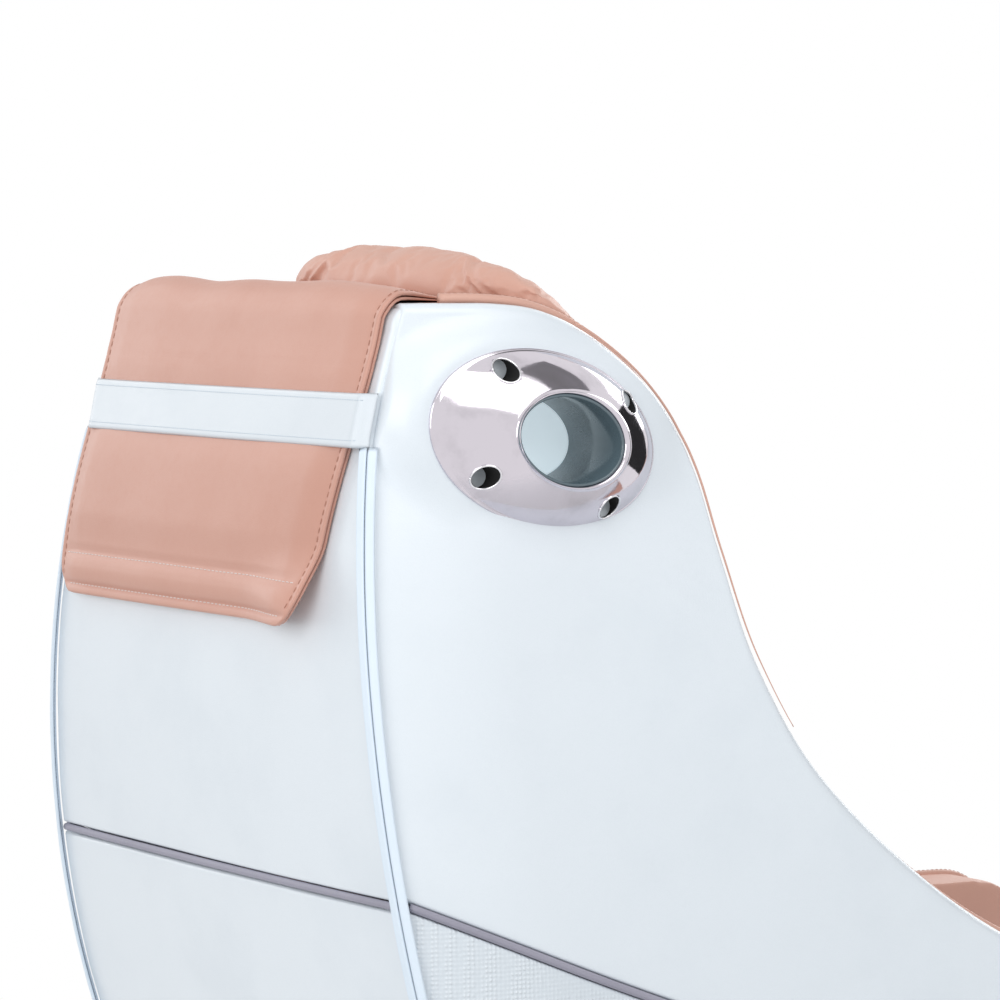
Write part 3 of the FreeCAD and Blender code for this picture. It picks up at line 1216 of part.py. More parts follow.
def drain_pipe():
    """Drain flange in the bowl's floor and the waste pipe that runs out at the rear."""
    wall = 3.0

    def run(r):
        a = vec(0, BOWL_Y, BOWL_FLOOR_Z - 20.0)
        b = vec(0, BOWL_Y, PIPE_Z)
        c = vec(PIPE_X, BOWL_Y + 260.0, PIPE_Z)
        d = vec(PIPE_X, BASE_REAR_Y + OUTLET_COLLAR_T / 2, PIPE_Z)
        balls = [Part.makeSphere(r, spot) for spot in (b, c)]
        return fuse_all([cylinder(r, a, b), cylinder(r, b, c), cylinder(r, c, d)] + balls)
    flange = cylinder(DRAIN_R + 8.0, vec(0, BOWL_Y, BOWL_FLOOR_Z), vec(0, BOWL_Y, BOWL_FLOOR_Z + 3.0))
    neck = cylinder(DRAIN_R, vec(0, BOWL_Y, BOWL_FLOOR_Z - 24.0), vec(0, BOWL_Y, BOWL_FLOOR_Z + 1.0))
    pipe = fuse_all([flange, neck, run(PIPE_R)])
    throat = cylinder(PIPE_R - wall, vec(0, BOWL_Y, BOWL_FLOOR_Z - 22.0), vec(0, BOWL_Y, BOWL_FLOOR_Z + 5.0))
    pipe = pipe.cut(run(PIPE_R - wall)).cut(throat)
    pipe = pipe.cut(cylinder(PIPE_R - wall, vec(PIPE_X, BASE_REAR_Y, PIPE_Z), vec(PIPE_X, BASE_REAR_Y + 80.0, PIPE_Z)))
    bar = box(-PIPE_R, PIPE_R, BOWL_Y - 4.5, BOWL_Y + 4.5, BOWL_FLOOR_Z - 16.0, BOWL_FLOOR_Z - 8.0)
    outlet = vec(PIPE_X, BASE_REAR_Y, PIPE_Z)
    collar = cylinder(PIPE_R + 7.0, outlet, outlet + vec(0, OUTLET_COLLAR_T, 0))
    spigot = cylinder(SPIGOT_R, outlet, outlet + vec(0, PIPE_OUT, 0))
    rim = fuse_all([collar, spigot]).cut(cylinder(PIPE_R - wall, outlet, outlet + vec(0, PIPE_OUT, 0)))
    pipe = fuse_all([pipe, bar, rim])
    return pipe.cut(cylinder(2.5 + RUN, vec(0, BOWL_Y, 100), vec(0, BOWL_Y, 160)))


def drain_stopper():
    cap = cylinder(DRAIN_R - 1.0, vec(0, BOWL_Y, BOWL_FLOOR_Z + 3.0 + GAP), vec(0, BOWL_Y, BOWL_FLOOR_Z + 8.0))
    cap = cap.makeFillet(3.0, [edge for edge in cap.Edges if edge.BoundBox.ZMin > BOWL_FLOOR_Z + 7.9])
    stem = cylinder(2.5, vec(0, BOWL_Y, BOWL_FLOOR_Z - 26.0), vec(0, BOWL_Y, BOWL_FLOOR_Z + 4.0))
    return cap.fuse(stem).removeSplitter()


def levelling_feet():
    feet = []
    for x, y in FOOT_SPOTS:
        for side in (-1, 1):
            pad = Part.makeCone(FOOT_R, FOOT_R - 6.0, 12.0, vec(side * x, y, 0))
            stud = cylinder(FOOT_STUD_R, vec(side * x, y, 10.0), vec(side * x, y, 62.0))
            nut = cylinder(11.0, vec(side * x, y, 12.0), vec(side * x, y, BASE_LOW_Z))
            feet.append(fuse_all([pad, stud, nut]))
    return Part.makeCompound(feet)


def access_panel():
    half = HATCH_HALF + HATCH_LAP
    panel = box(-half, half, BASE_REAR_Y, BASE_REAR_Y + HATCH_T, HATCH_LOW_Z - 10.0, HATCH_HIGH_Z + 10.0)
    corners = [edge for edge in panel.Edges if edge.BoundBox.YLength > HATCH_T - 0.1]
    panel = panel.makeFillet(14.0, corners)
    for index in range(6):
        z = 110.0 + index * 12.0
        panel = panel.cut(box(-50.0, 50.0, BASE_REAR_Y - 1.0, BASE_REAR_Y + 6.0, z, z + 5.0))
    return panel


def panel_screws():
    screws = []
    face = BASE_REAR_Y + HATCH_T
    head_t = 3.0
    for x in (-HATCH_HALF - 10.0, HATCH_HALF + 10.0):
        for z in (HATCH_LOW_Z + 4.0, HATCH_HIGH_Z - 4.0):
            head = cylinder(6.0, vec(x, face, z), vec(x, face + head_t, z))
            screws.append(head.makeFillet(1.5, [edge for edge in head.Edges
                                                if edge.BoundBox.YMin > face + head_t - 0.1]))
    return Part.makeCompound(screws)


def water_inlets():
    """Hot and cold stubs through the rear wall, with a nut on the outside."""
    stubs = []
    for x in INLET_XS:
        stub = cylinder(INLET_R, vec(x, BASE_REAR_Y - 30.0, INLET_Z), vec(x, BASE_REAR_Y + PIPE_OUT, INLET_Z))
        corners = [vec(x + 17.0 * math.cos(math.radians(60 * n)), BASE_REAR_Y,
                       INLET_Z + 17.0 * math.sin(math.radians(60 * n))) for n in range(7)]
        nut = Part.Face(Part.makePolygon(corners)).extrude(vec(0, 8.0, 0))
        stubs.append(stub.fuse(nut).removeSplitter())
    return Part.makeCompound(stubs)


def power_gland():
    z = INLET_Z + 60.0
    body = cylinder(9.0 - GAP, vec(PIPE_X, BASE_REAR_Y - 20.0, z), vec(PIPE_X, BASE_REAR_Y + 1.0, z))
    collar = cylinder(14.0, vec(PIPE_X, BASE_REAR_Y, z), vec(PIPE_X, BASE_REAR_Y + 7.0, z))
    dome = Part.makeCone(11.0, 7.5, 14.0, vec(PIPE_X, BASE_REAR_Y + 7.0, z), vec(0, 1, 0))
    gland = fuse_all([body, collar, dome])
    return gland.cut(cylinder(4.0, vec(PIPE_X, BASE_REAR_Y + 2.0, z), vec(PIPE_X, BASE_REAR_Y + 40.0, z)))


def faucet_body():
    """Deck mixer: base, column, spindle and a curved spout over the bowl."""
    base = cylinder(24.0, vec(FAUCET_X, FAUCET_Y, RIM_Z), vec(FAUCET_X, FAUCET_Y, RIM_Z + 8.0))
    shank = cylinder(9.0 - GAP, vec(FAUCET_X, FAUCET_Y, RIM_Z - 40.0), vec(FAUCET_X, FAUCET_Y, RIM_Z + 1.0))
    column = Part.makeCone(19.0, 16.0, 52.0, vec(FAUCET_X, FAUCET_Y, RIM_Z + 7.0))
    spindle = cylinder(5.0, vec(FAUCET_X, FAUCET_Y, RIM_Z + 58.0), vec(FAUCET_X, FAUCET_Y, RIM_Z + 70.0))
    toward = vec(-FAUCET_X * 0.75, BOWL_Y - FAUCET_Y, 0).normalize()
    rise = math.radians(28.0)
    bend_r = 30.0
    ahead = toward * math.cos(rise) + vec(0, 0, math.sin(rise))
    down = toward * math.sin(rise) - vec(0, 0, math.cos(rise))
    root = vec(FAUCET_X, FAUCET_Y, RIM_Z + 34.0)
    bend = root + ahead * 66.0

    def on_bend(turn):
        return bend + down * bend_r * (1 - math.cos(turn)) + ahead * bend_r * math.sin(turn)
    path = Part.Wire([line(root, bend), arc(bend, on_bend(math.radians(52)), on_bend(math.radians(104)))])
    start = Part.Wire([Part.Circle(root, ahead, 8.5).toShape()])
    spout = path.makePipeShell([start], True, False)
    return fuse_all([base, shank, column, spindle, spout])


def mixer_lever():
    z = RIM_Z + 59.0 + GAP
    cap = cylinder(16.0, vec(FAUCET_X, FAUCET_Y, z), vec(FAUCET_X, FAUCET_Y, z + 16.0))
    cap = cap.makeFillet(4.0, [edge for edge in cap.Edges if edge.BoundBox.ZMin > z + 15.9])
    bar = Part.makeCone(4.5, 3.5, 58.0, vec(FAUCET_X, FAUCET_Y, z + 9.0), vec(0.35, -0.55, 0.12))
    knob = Part.makeSphere(5.0, vec(FAUCET_X, FAUCET_Y, z + 9.0) + vec(0.35, -0.55, 0.12).normalize() * 58.0)
    lever = fuse_all([cap, bar, knob])
    return lever.cut(cylinder(5.0 + RUN, vec(FAUCET_X, FAUCET_Y, z - 1.0), vec(FAUCET_X, FAUCET_Y, z + 12.0)))


def spray_socket():
    x = -FAUCET_X
    ring = cylinder(22.0, vec(x, FAUCET_Y, RIM_Z), vec(x, FAUCET_Y, RIM_Z + 6.0))
    sleeve = cylinder(17.0 - GAP, vec(x, FAUCET_Y, RIM_Z - 60.0), vec(x, FAUCET_Y, RIM_Z + 1.0))
    return fuse_all([ring, sleeve]).cut(cylinder(13.0 + GAP, vec(x, FAUCET_Y, RIM_Z - 55.0), vec(x, FAUCET_Y, RIM_Z + 10)))


def spray_handle():
    """Hand spray that lifts out of its socket."""
    x = -FAUCET_X
    shank = cylinder(13.0, vec(x, FAUCET_Y, RIM_Z - 50.0), vec(x, FAUCET_Y, RIM_Z + 8.0))
    collar = cylinder(17.0, vec(x, FAUCET_Y, RIM_Z + 6.0 + GAP), vec(x, FAUCET_Y, RIM_Z + 14.0))
    grip = Part.makeCone(12.0, 14.0, 78.0, vec(x, FAUCET_Y, RIM_Z + 13.0))
    head_axis = vec(0.5, 0.75, 0.2).normalize()
    head_foot = vec(x, FAUCET_Y, RIM_Z + 92.0) - head_axis * 16.0
    head = Part.makeCone(16.0, 21.0, 40.0, head_foot, head_axis)
    return fuse_all([shank, collar, grip, head])


def control_panel():
    """Switch plate let into the rim, with two button wells."""
    z = RIM_Z + 3.0
    body = box(PANEL_X - 33.7, PANEL_X + 13.7, PANEL_Y - 44.7, PANEL_Y + 44.7, RIM_Z - 16.0, RIM_Z)
    plate = box(PANEL_X - 38.0, PANEL_X + 18.0, PANEL_Y - 49.0, PANEL_Y + 49.0, RIM_Z, z)
    plate = plate.makeFillet(8.0, [edge for edge in plate.Edges if edge.BoundBox.ZLength > 2.9])
    panel = body.fuse(plate).removeSplitter()
    for y in PANEL_BUTTON_YS:
        panel = panel.cut(cylinder(BUTTON_R + 0.4, vec(PANEL_X - 10.0, y, z - 12.0), vec(PANEL_X - 10.0, y, z + 1.0)))
    return panel


def panel_button(index):
    y = PANEL_BUTTON_YS[index]
    z = RIM_Z + 3.0
    button = cylinder(BUTTON_R, vec(PANEL_X - 10.0, y, z - 8.0), vec(PANEL_X - 10.0, y, z + 3.0))
    return button.makeFillet(1.5, [edge for edge in button.Edges if edge.BoundBox.ZMin > z + 2.9])


# Footrest


def footrest_socket():
    ring = cylinder(20.0, vec(0, SOCKET_Y, RIM_Z), vec(0, SOCKET_Y, RIM_Z + 7.0))
    sleeve = cylinder(17.0 - GAP, vec(0, SOCKET_Y, 240.0), vec(0, SOCKET_Y, RIM_Z + 1.0))
    return fuse_all([ring, sleeve]).cut(cylinder(POST_R + RUN, vec(0, SOCKET_Y, 246.0), vec(0, SOCKET_Y, 400.0)))


def footrest_post():
    """Round post with a flattened eye for the pad's yoke."""
    post = cylinder(POST_R, vec(0, SOCKET_Y, 246.0 + GAP), vec(0, SOCKET_Y, YOKE_PIN_Z - 12.0))
    eye = box(-8.0, 8.0, SOCKET_Y - 11.0, SOCKET_Y + 11.0, YOKE_PIN_Z - 16.0, YOKE_PIN_Z)
    eye = eye.fuse(cylinder(11.0, vec(-8.0, SOCKET_Y, YOKE_PIN_Z), vec(8.0, SOCKET_Y, YOKE_PIN_Z)))
    post = fuse_all([post, eye])
    return post.cut(cylinder(YOKE_PIN_R + RUN, vec(-20, SOCKET_Y, YOKE_PIN_Z), vec(20, SOCKET_Y, YOKE_PIN_Z)))


def footrest_yoke():
    y = SOCKET_Y + PAD_SHIFT
    parts = [box(-90.0, 90.0, y - 30.0, y + 30.0, PAD_PLATE_Z, PAD_PLATE_Z + 5.0)]
    for side in (-1, 1):
        x0, x1 = sorted((side * 8.5, side * 13.5))
        ear = box(x0, x1, SOCKET_Y - 9.0, SOCKET_Y + 9.0, YOKE_PIN_Z, PAD_PLATE_Z + 1.0)
        parts.append(ear.fuse(cylinder(9.0, vec(x0, SOCKET_Y, YOKE_PIN_Z), vec(x1, SOCKET_Y, YOKE_PIN_Z))))
    parts.append(cylinder(YOKE_PIN_R, vec(-13.5, SOCKET_Y, YOKE_PIN_Z), vec(13.5, SOCKET_Y, YOKE_PIN_Z)))
    return fuse_all(parts)


def footrest_pad():
    y = SOCKET_Y + PAD_SHIFT
    low = PAD_PLATE_Z + 5.0 + GAP
    wires = []
    for share, fill in ((-1.0, 0.3), (-0.93, 0.8), (-0.6, 1.0), (0.6, 1.0), (0.93, 0.8), (1.0, 0.3)):
        half = 40.0 * (0.6 + 0.4 * fill)

        def place(a, b, x=share * 120.0):
            return vec(x, y + a, b)
        wires.append(pad_section(place, half, low, low + 18.0 + 12.0 * fill, 9.0 * fill, 5.0))
    return loft(wires)


# Arm keypad


def key_place(shape):
    """Set a piece drawn flat about the origin on the sloping top of the left arm."""
    top = ARM_START_Z + (KEY_Y - ARM_START_Y) * math.tan(math.radians(KEY_SLOPE)) + LINING_PROUD
    shape = shape.copy()
    shape.rotate(vec(0, 0, 0), vec(1, 0, 0), KEY_SLOPE)
    shape.translate(vec(SEAT_HALF + 38.0, KEY_Y, top))
    return shape


def keypad_housing():
    plate = box(-KEY_HALF_X, KEY_HALF_X, -KEY_HALF_Y, KEY_HALF_Y, -16.0, 4.0)
    edges = [edge for edge in plate.Edges if edge.BoundBox.ZLength > 15.0]
    plate = plate.makeFillet(10.0, edges)
    for y in (-22.0, 22.0):
        plate = plate.cut(cylinder(KEY_R + 0.4, vec(0, y, -8.0), vec(0, y, 5.0)))
    return key_place(plate)


def keypad_button(y):
    button = cylinder(KEY_R, vec(0, y, -5.0), vec(0, y, 7.0))
    return key_place(button.makeFillet(1.5, [edge for edge in button.Edges if edge.BoundBox.ZMin > 6.9]))


def keypad_pocket():
    pocket = box(-KEY_HALF_X - GAP, KEY_HALF_X + GAP, -KEY_HALF_Y - GAP, KEY_HALF_Y + GAP, -16.0, 20.0)
    return key_place(pocket)


def pair(shape):
    return Part.makeCompound([shape, mirrored(shape)])


def main():
    save("side_panel_left", side_panel())
    save("side_panel_right", mirrored(side_panel()))
    save("lower_side_panels", pair(lower_side_panel()))
    lining = wing_lining()
    save("wing_lining_left", lining.cut(keypad_pocket()))
    save("wing_lining_right", mirrored(lining))
    save("rear_panel_upper", rear_panel(True))
    save("rear_panel_lower", rear_panel(False))
    save("grey_piping", Part.makeCompound([side_piping(), mirrored(side_piping()), rear_piping()]))
    save("zip_plackets", pair(zip_placket()))
    save("port_bezels", pair(port_bezel()))
    save("port_tubes", pair(port_tube()))
    save("port_caps", pair(port_cap()))
    save("flap_strap", strap())
    save("back_flap", flap())
    save("top_cap", top_cap())
    save("head_pillow", head_pillow())
    save("seat_cushion", seat_cushion())
    save("back_pad", back_pad())
    save("chair_frame", chair_frame())
    save("seat_pan", seat_pan())
    save("keypad_housing", keypad_housing())
    save("keypad_button_up", keypad_button(22.0))
    save("keypad_button_down", keypad_button(-22.0))
    save("guide_rails", guide_rails())
    save("carriage", carriage())
    save("lead_screw", lead_screw())
    save("roller_arm_left", roller_arm(1))
    save("roller_arm_right", roller_arm(-1))
    save("rollers_left", roller(1))
    save("rollers_right", roller(-1))
    save("slider_frame", slider_frame())
    save("slide_rails", slide_rails())
    save("slide_motor", slide_motor())
    save("slide_screw", slide_screw())
    save("actuator_body", actuator_body())
    save("actuator_rod", actuator_rod())
    save("base_tub", base_tub())
    save("foot_bowl", foot_bowl())
    save("bowl_lamp", bowl_lamp())
    save("jet_housings", jet_housings())
    save("jet_grilles", jet_grilles())
    save("jet_impeller_left", jet_impeller(1))
    save("jet_impeller_right", jet_impeller(-1))
    save("drain_pipe", drain_pipe())
    save("drain_stopper", drain_stopper())
    save("levelling_feet", levelling_feet())
    save("access_panel", access_panel())
    save("panel_screws", panel_screws())
    save("water_inlets", water_inlets())
    save("power_gland", power_gland())
    save("faucet_body", faucet_body())
    save("mixer_lever", mixer_lever())
    save("spray_handle", spray_handle())
    save("control_panel", control_panel())
    save("panel_button_jets", panel_button(0))
    save("panel_button_lamp", panel_button(1))
    save("deck_sockets", Part.makeCompound([footrest_socket(), spray_socket()]))
    save("footrest_post", footrest_post())
    save("footrest_yoke", footrest_yoke())
    save("footrest_pad", footrest_pad())


main()
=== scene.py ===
"""Looks of a pedicure spa chair: leather shell, pillow with its flap, ports, cushions and basin."""
import logging
import math
from dataclasses import dataclass
from enum import Enum
from typing import Callable, Iterable, Optional, Sequence, Union

import bmesh
import bpy
import numpy as np
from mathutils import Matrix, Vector, noise


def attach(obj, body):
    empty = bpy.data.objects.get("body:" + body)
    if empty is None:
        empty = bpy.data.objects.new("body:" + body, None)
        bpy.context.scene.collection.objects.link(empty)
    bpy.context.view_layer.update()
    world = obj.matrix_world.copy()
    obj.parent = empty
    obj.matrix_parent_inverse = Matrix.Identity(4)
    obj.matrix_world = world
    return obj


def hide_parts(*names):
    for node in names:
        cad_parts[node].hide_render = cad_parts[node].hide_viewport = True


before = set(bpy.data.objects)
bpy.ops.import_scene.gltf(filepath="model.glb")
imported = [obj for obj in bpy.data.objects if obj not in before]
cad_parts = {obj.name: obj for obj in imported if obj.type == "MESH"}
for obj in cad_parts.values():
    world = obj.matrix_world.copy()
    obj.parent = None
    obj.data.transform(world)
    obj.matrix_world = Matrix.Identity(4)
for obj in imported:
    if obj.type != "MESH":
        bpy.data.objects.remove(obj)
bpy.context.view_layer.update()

LOG = logging.getLogger("spa_chair")

Colour = tuple[float, float, float]
Value = Union[float, int, tuple, "Socket"]
Points = np.ndarray
Pair = tuple[float, float]
Triple = tuple[float, float, float]
Piece = bpy.types.Object
Material = bpy.types.Material

EDGE_WIDTH = 0.012
HEM_WIDTH = 0.010
FINE_STEP = 0.0015
STITCH_SIDES = 6
STITCH_PROFILE = ((-1.0, 0.25, -0.5), (-0.8, 0.85, 0.25), (0.0, 1.0, 0.55), (0.8, 0.85, 0.25),
                  (1.0, 0.25, -0.5))
CLOTH_FRAMES = 20
TINY = 1e-9


class Side(Enum):
    """Left and right of the sitter, as the sign of X."""

    LEFT = 1
    RIGHT = -1

    def named(self, stem: str) -> str:
        """Name of this side's piece."""
        return f"{stem}_{self.name.lower()}"


# Shader maths


class Socket:
    """One output of a shader node, which takes part in sums and products."""

    def __init__(self, tree: "Tree", output: bpy.types.NodeSocket) -> None:
        """Keep the tree that the output belongs to."""
        self.tree = tree
        self.output = output

    def _math(self, operation: str, *values: Value) -> "Socket":
        """Add one Math node.

        Args:
            operation: name of the Math node's operation.
            values: its inputs in order.

        Returns:
            The node's output.
        """
        return self.tree.node("ShaderNodeMath", {"operation": operation}, dict(enumerate(values)))

    def __add__(self, other: Value) -> "Socket":
        """Sum with a number or socket."""
        return self._math("ADD", self, other)

    def __radd__(self, other: Value) -> "Socket":
        """Sum with a number on the left."""
        return self._math("ADD", other, self)

    def __sub__(self, other: Value) -> "Socket":
        """Difference from a number or socket."""
        return self._math("SUBTRACT", self, other)

    def __rsub__(self, other: Value) -> "Socket":
        """Difference of a number on the left."""
        return self._math("SUBTRACT", other, self)

    def __mul__(self, other: Value) -> "Socket":
        """Product with a number or socket."""
        return self._math("MULTIPLY", self, other)

    def __rmul__(self, other: Value) -> "Socket":
        """Product with a number on the left."""
        return self._math("MULTIPLY", other, self)

    def between(self, low: float, high: float, start: float = 0.0, end: float = 1.0) -> "Socket":
        """Smooth step of this value.

        Args:
            low: where the step starts.
            high: where the step ends.
            start: result below low.
            end: result above high.

        Returns:
            The stepped value.
        """
        return self.tree.node("ShaderNodeMapRange", {"interpolation_type": "SMOOTHSTEP"},
                              {"Value": self, "From Min": low, "From Max": high,
                               "To Min": start, "To Max": end})

    def tint(self, none: Value, full: Value) -> "Socket":
        """Blend two colours by this value.

        Args:
            none: colour where this value is 0.
            full: colour where it is 1.

        Returns:
            The blended colour.
        """
        return self.tree.node("ShaderNodeMix", {"data_type": "RGBA"},
                              {0: self, 6: none, 7: full}, 2)


class Tree:
    """Node tree of one material with a Principled shader at its end."""

    def __init__(self, name: str) -> None:
        """Start an empty material of that name."""
        self.material = bpy.data.materials.new(name)
        self.material.use_nodes = True
        self.nodes = self.material.node_tree.nodes
        self.links = self.material.node_tree.links
        self.nodes.clear()
        self.end = self.nodes.new("ShaderNodeOutputMaterial")
        self.shader = self.nodes.new("ShaderNodeBsdfPrincipled")
        self.links.new(self.shader.outputs[0], self.end.inputs[0])

    def node(self, kind: str, settings: Optional[dict] = None, inputs: Optional[dict] = None,
             output: Union[int, str] = 0) -> Socket:
        """Add a node, set it up and link it.

        Args:
            kind: Blender's name of the node type.
            settings: the node's own properties.
            inputs: socket name or number to a value or a Socket.
            output: which output to give back.

        Returns:
            The chosen output.
        """
        added = self.nodes.new(kind)
        for key, value in (settings or {}).items():
            setattr(added, key, value)
        for key, value in (inputs or {}).items():
            self.feed(added.inputs[key], value)
        return Socket(self, added.outputs[output])

    def feed(self, target: bpy.types.NodeSocket, value: Value) -> None:
        """Set an input to a value, or link a Socket to it."""
        if isinstance(value, Socket):
            self.links.new(value.output, target)
        elif isinstance(value, tuple) and target.type == "RGBA":
            target.default_value = (*value[:3], 1.0)
        else:
            target.default_value = value

    def place(self) -> Socket:
        """Position on the piece in metres."""
        return self.node("ShaderNodeTexCoord", output="Object")

    def clouds(self, scale: float, detail: float = 3.0, seed: float = 0.0,
               stretch: Triple = (1.0, 1.0, 1.0)) -> Socket:
        """Soft noise from 0 to 1.

        Args:
            scale: features per metre.
            detail: octaves.
            seed: shift that gives another pattern.
            stretch: scale along each axis.

        Returns:
            The noise value.
        """
        spot = self.node("ShaderNodeMapping", {}, {"Vector": self.place(), "Scale": stretch,
                                                   "Location": (seed, seed * 0.7, -seed)})
        return self.node("ShaderNodeTexNoise", {}, {"Vector": spot, "Scale": scale,
                                                    "Detail": detail, "Roughness": 0.55})

    def cells(self, scale: float, feature: str = "F1", spread: float = 1.0) -> Socket:
        """Distance in a cell pattern.

        Args:
            scale: cells per metre.
            feature: which distance is measured.
            spread: 1 for free cells, 0 for a regular grid.

        Returns:
            The distance.
        """
        return self.node("ShaderNodeTexVoronoi", {"feature": feature},
                         {"Vector": self.place(), "Scale": scale, "Randomness": spread},
                         "Distance")

    def bump(self, layers: Iterable[tuple[Socket, float]]) -> Socket:
        """Chain of bumps.

        Args:
            layers: each a height from 0 to 1 and its depth in metres.

        Returns:
            The bent normal.
        """
        normal: Optional[Socket] = None
        for height, depth in layers:
            inputs = {"Height": height, "Distance": depth, "Strength": 1.0}
            if normal is not None:
                inputs["Normal"] = normal
            normal = self.node("ShaderNodeBump", {}, inputs)
        return normal

    def dress(self, **inputs: Value) -> Material:
        """Feed the Principled shader.

        Args:
            inputs: socket names with underscores for spaces.

        Returns:
            The finished material.
        """
        for key, value in inputs.items():
            self.feed(self.shader.inputs[key.replace("_", " ")], value)
        return self.material


# Finishes


@dataclass(frozen=True)
class Leather:
    """Coated upholstery leather: pebble grain with painted shade in its hollows, soft creases."""

    colour: Colour
    shade: Colour
    roughness: float = 0.34
    grain: float = 900.0
    grain_depth: float = 0.00006
    crease_depth: float = 0.00035
    coat: float = 0.35
    mottle: float = 0.5
    seed: float = 0.0

    def build(self, name: str) -> Material:
        """Make the material."""
        tree = Tree(name)
        tone = tree.clouds(7.0, 4.0, self.seed)
        fine = tree.clouds(120.0, 3.0, self.seed + 3.0)
        pebble = tree.cells(self.grain)
        crease = tree.clouds(16.0, 5.0, self.seed + 1.0, (1.0, 1.0, 0.45))
        worn = tone.between(0.42, 0.78) * self.mottle
        colour = worn.tint(self.colour, self.shade)
        # Painted shade: the hollows between the pebbles are darkened toward the shade colour.
        colour = (pebble.between(0.35, 0.8) * 0.16).tint(colour, self.shade)
        rough = self.roughness + worn * 0.05 + fine.between(0.4, 0.7) * 0.05
        normal = tree.bump([(crease, self.crease_depth), (fine, self.grain_depth * 2.0),
                            (1.0 - pebble, self.grain_depth)])
        return tree.dress(Base_Color=colour, Roughness=rough, Normal=normal,
                          Coat_Weight=self.coat, Coat_Roughness=0.22, Specular_IOR_Level=0.5)


@dataclass(frozen=True)
class BeadedLeather:
    """Shiny leather pressed into rows of fine beads, with painted shade between them."""

    colour: Colour
    shade: Colour
    pitch: float = 0.0042
    depth: float = 0.0010

    def build(self, name: str) -> Material:
        """Make the material."""
        tree = Tree(name)
        bead = tree.cells(1.0 / self.pitch, "SMOOTH_F1", 0.15)
        round_top = 1.0 - bead.between(0.05, 0.62)
        tone = tree.clouds(9.0, 3.0, 2.0)
        colour = tone.between(0.4, 0.8).tint(self.colour, self.shade)
        # Painted shade: the gaps between the beads are darkened toward the shade colour.
        colour = (1.0 - round_top).tint(colour, self.shade)
        rough = 0.24 + (1.0 - round_top) * 0.25
        normal = tree.bump([(tone, 0.0005), (round_top, self.depth)])
        return tree.dress(Base_Color=colour, Roughness=rough, Normal=normal, Coat_Weight=0.5,
                          Coat_Roughness=0.12)


@dataclass(frozen=True)
class Tape:
    """Woven zip tape with fine diagonal threads, with painted shade in the grooves between them."""

    colour: Colour
    shade: Colour
    threads: float = 1600.0

    def build(self, name: str) -> Material:
        """Make the material."""
        tree = Tree(name)
        warp = tree.node("ShaderNodeTexWave", {"bands_direction": "DIAGONAL"},
                         {"Vector": tree.place(), "Scale": self.threads / 6.28, "Distortion": 0.6,
                          "Detail": 1.0}, "Fac")
        tone = tree.clouds(40.0, 3.0, 5.0)
        # Painted shade: darker in the grooves of the weave, lighter on the threads' crests.
        colour = (warp.between(0.2, 0.9) * 0.5 + 0.5).tint(self.shade, self.colour)
        colour = (tone.between(0.4, 0.8) * 0.2).tint(colour, self.shade)
        normal = tree.bump([(warp, 0.0001)])
        return tree.dress(Base_Color=colour, Roughness=tone * 0.2 + 0.5, Normal=normal)


@dataclass(frozen=True)
class Metal:
    """Plated or machined metal with faint handling marks."""

    colour: Colour
    roughness: float = 0.12
    brushed: float = 0.0
    smudge: float = 0.08

    def build(self, name: str) -> Material:
        """Make the material."""
        tree = Tree(name)
        marks = tree.clouds(30.0, 4.0, 1.0)
        lines = tree.clouds(240.0, 2.0, 4.0, (1.0, 12.0, 12.0))
        dark = tuple(part * 0.82 for part in self.colour)
        colour = marks.between(0.45, 0.8).tint(self.colour, dark)
        rough = self.roughness + marks.between(0.4, 0.75) * self.smudge + lines * self.brushed
        normal = tree.bump([(marks, 0.00015), (lines, 0.00003 * (1.0 if self.brushed else 0.0))])
        return tree.dress(Base_Color=colour, Metallic=1.0, Roughness=rough, Normal=normal)


@dataclass(frozen=True)
class Plastic:
    """Moulded plastic, glossy or with a fine texture, with soft dust in its tone."""

    colour: Colour
    roughness: float = 0.3
    texture: float = 0.0
    coat: float = 0.0
    wave: float = 0.0004
    # Emission strength: a painted glow that makes the part shine though it is no lamp.
    painted_glow: float = 0.0

    def build(self, name: str) -> Material:
        """Make the material."""
        tree = Tree(name)
        tone = tree.clouds(11.0, 4.0, 3.0)
        speck = tree.clouds(900.0, 2.0, 6.0)
        dusk = tuple(part * 0.9 for part in self.colour)
        colour = tone.between(0.4, 0.8).tint(self.colour, dusk)
        rough = self.roughness + tone.between(0.4, 0.8) * 0.06 + speck * 0.06
        normal = tree.bump([(tone, self.wave), (speck, 0.00002 + self.texture)])
        return tree.dress(Base_Color=colour, Roughness=rough, Normal=normal, Coat_Weight=self.coat,
                          Coat_Roughness=0.08, Emission_Color=colour,
                          Emission_Strength=self.painted_glow)


@dataclass(frozen=True)
class Rubber:
    """Dull moulded rubber with scuffs."""

    colour: Colour

    def build(self, name: str) -> Material:
        """Make the material."""
        tree = Tree(name)
        scuff = tree.clouds(60.0, 5.0, 2.0)
        pale = tuple(part + 0.05 for part in self.colour)
        colour = scuff.between(0.5, 0.75).tint(self.colour, pale)
        normal = tree.bump([(scuff, 0.0002)])
        return tree.dress(Base_Color=colour, Roughness=scuff * 0.2 + 0.6, Normal=normal)


# Mesh tools


def smooth_step(value: Points, low: float, high: float) -> Points:
    """Smooth step of numbers from 0 below low to 1 above high."""
    share = np.clip((value - low) / (high - low), 0.0, 1.0)
    return share * share * (3.0 - 2.0 * share)


def travelled(line: Points) -> Points:
    """Distance along a line at each of its points."""
    steps = np.linalg.norm(np.diff(line, axis=0), axis=1)
    return np.concatenate([[0.0], np.cumsum(steps)])


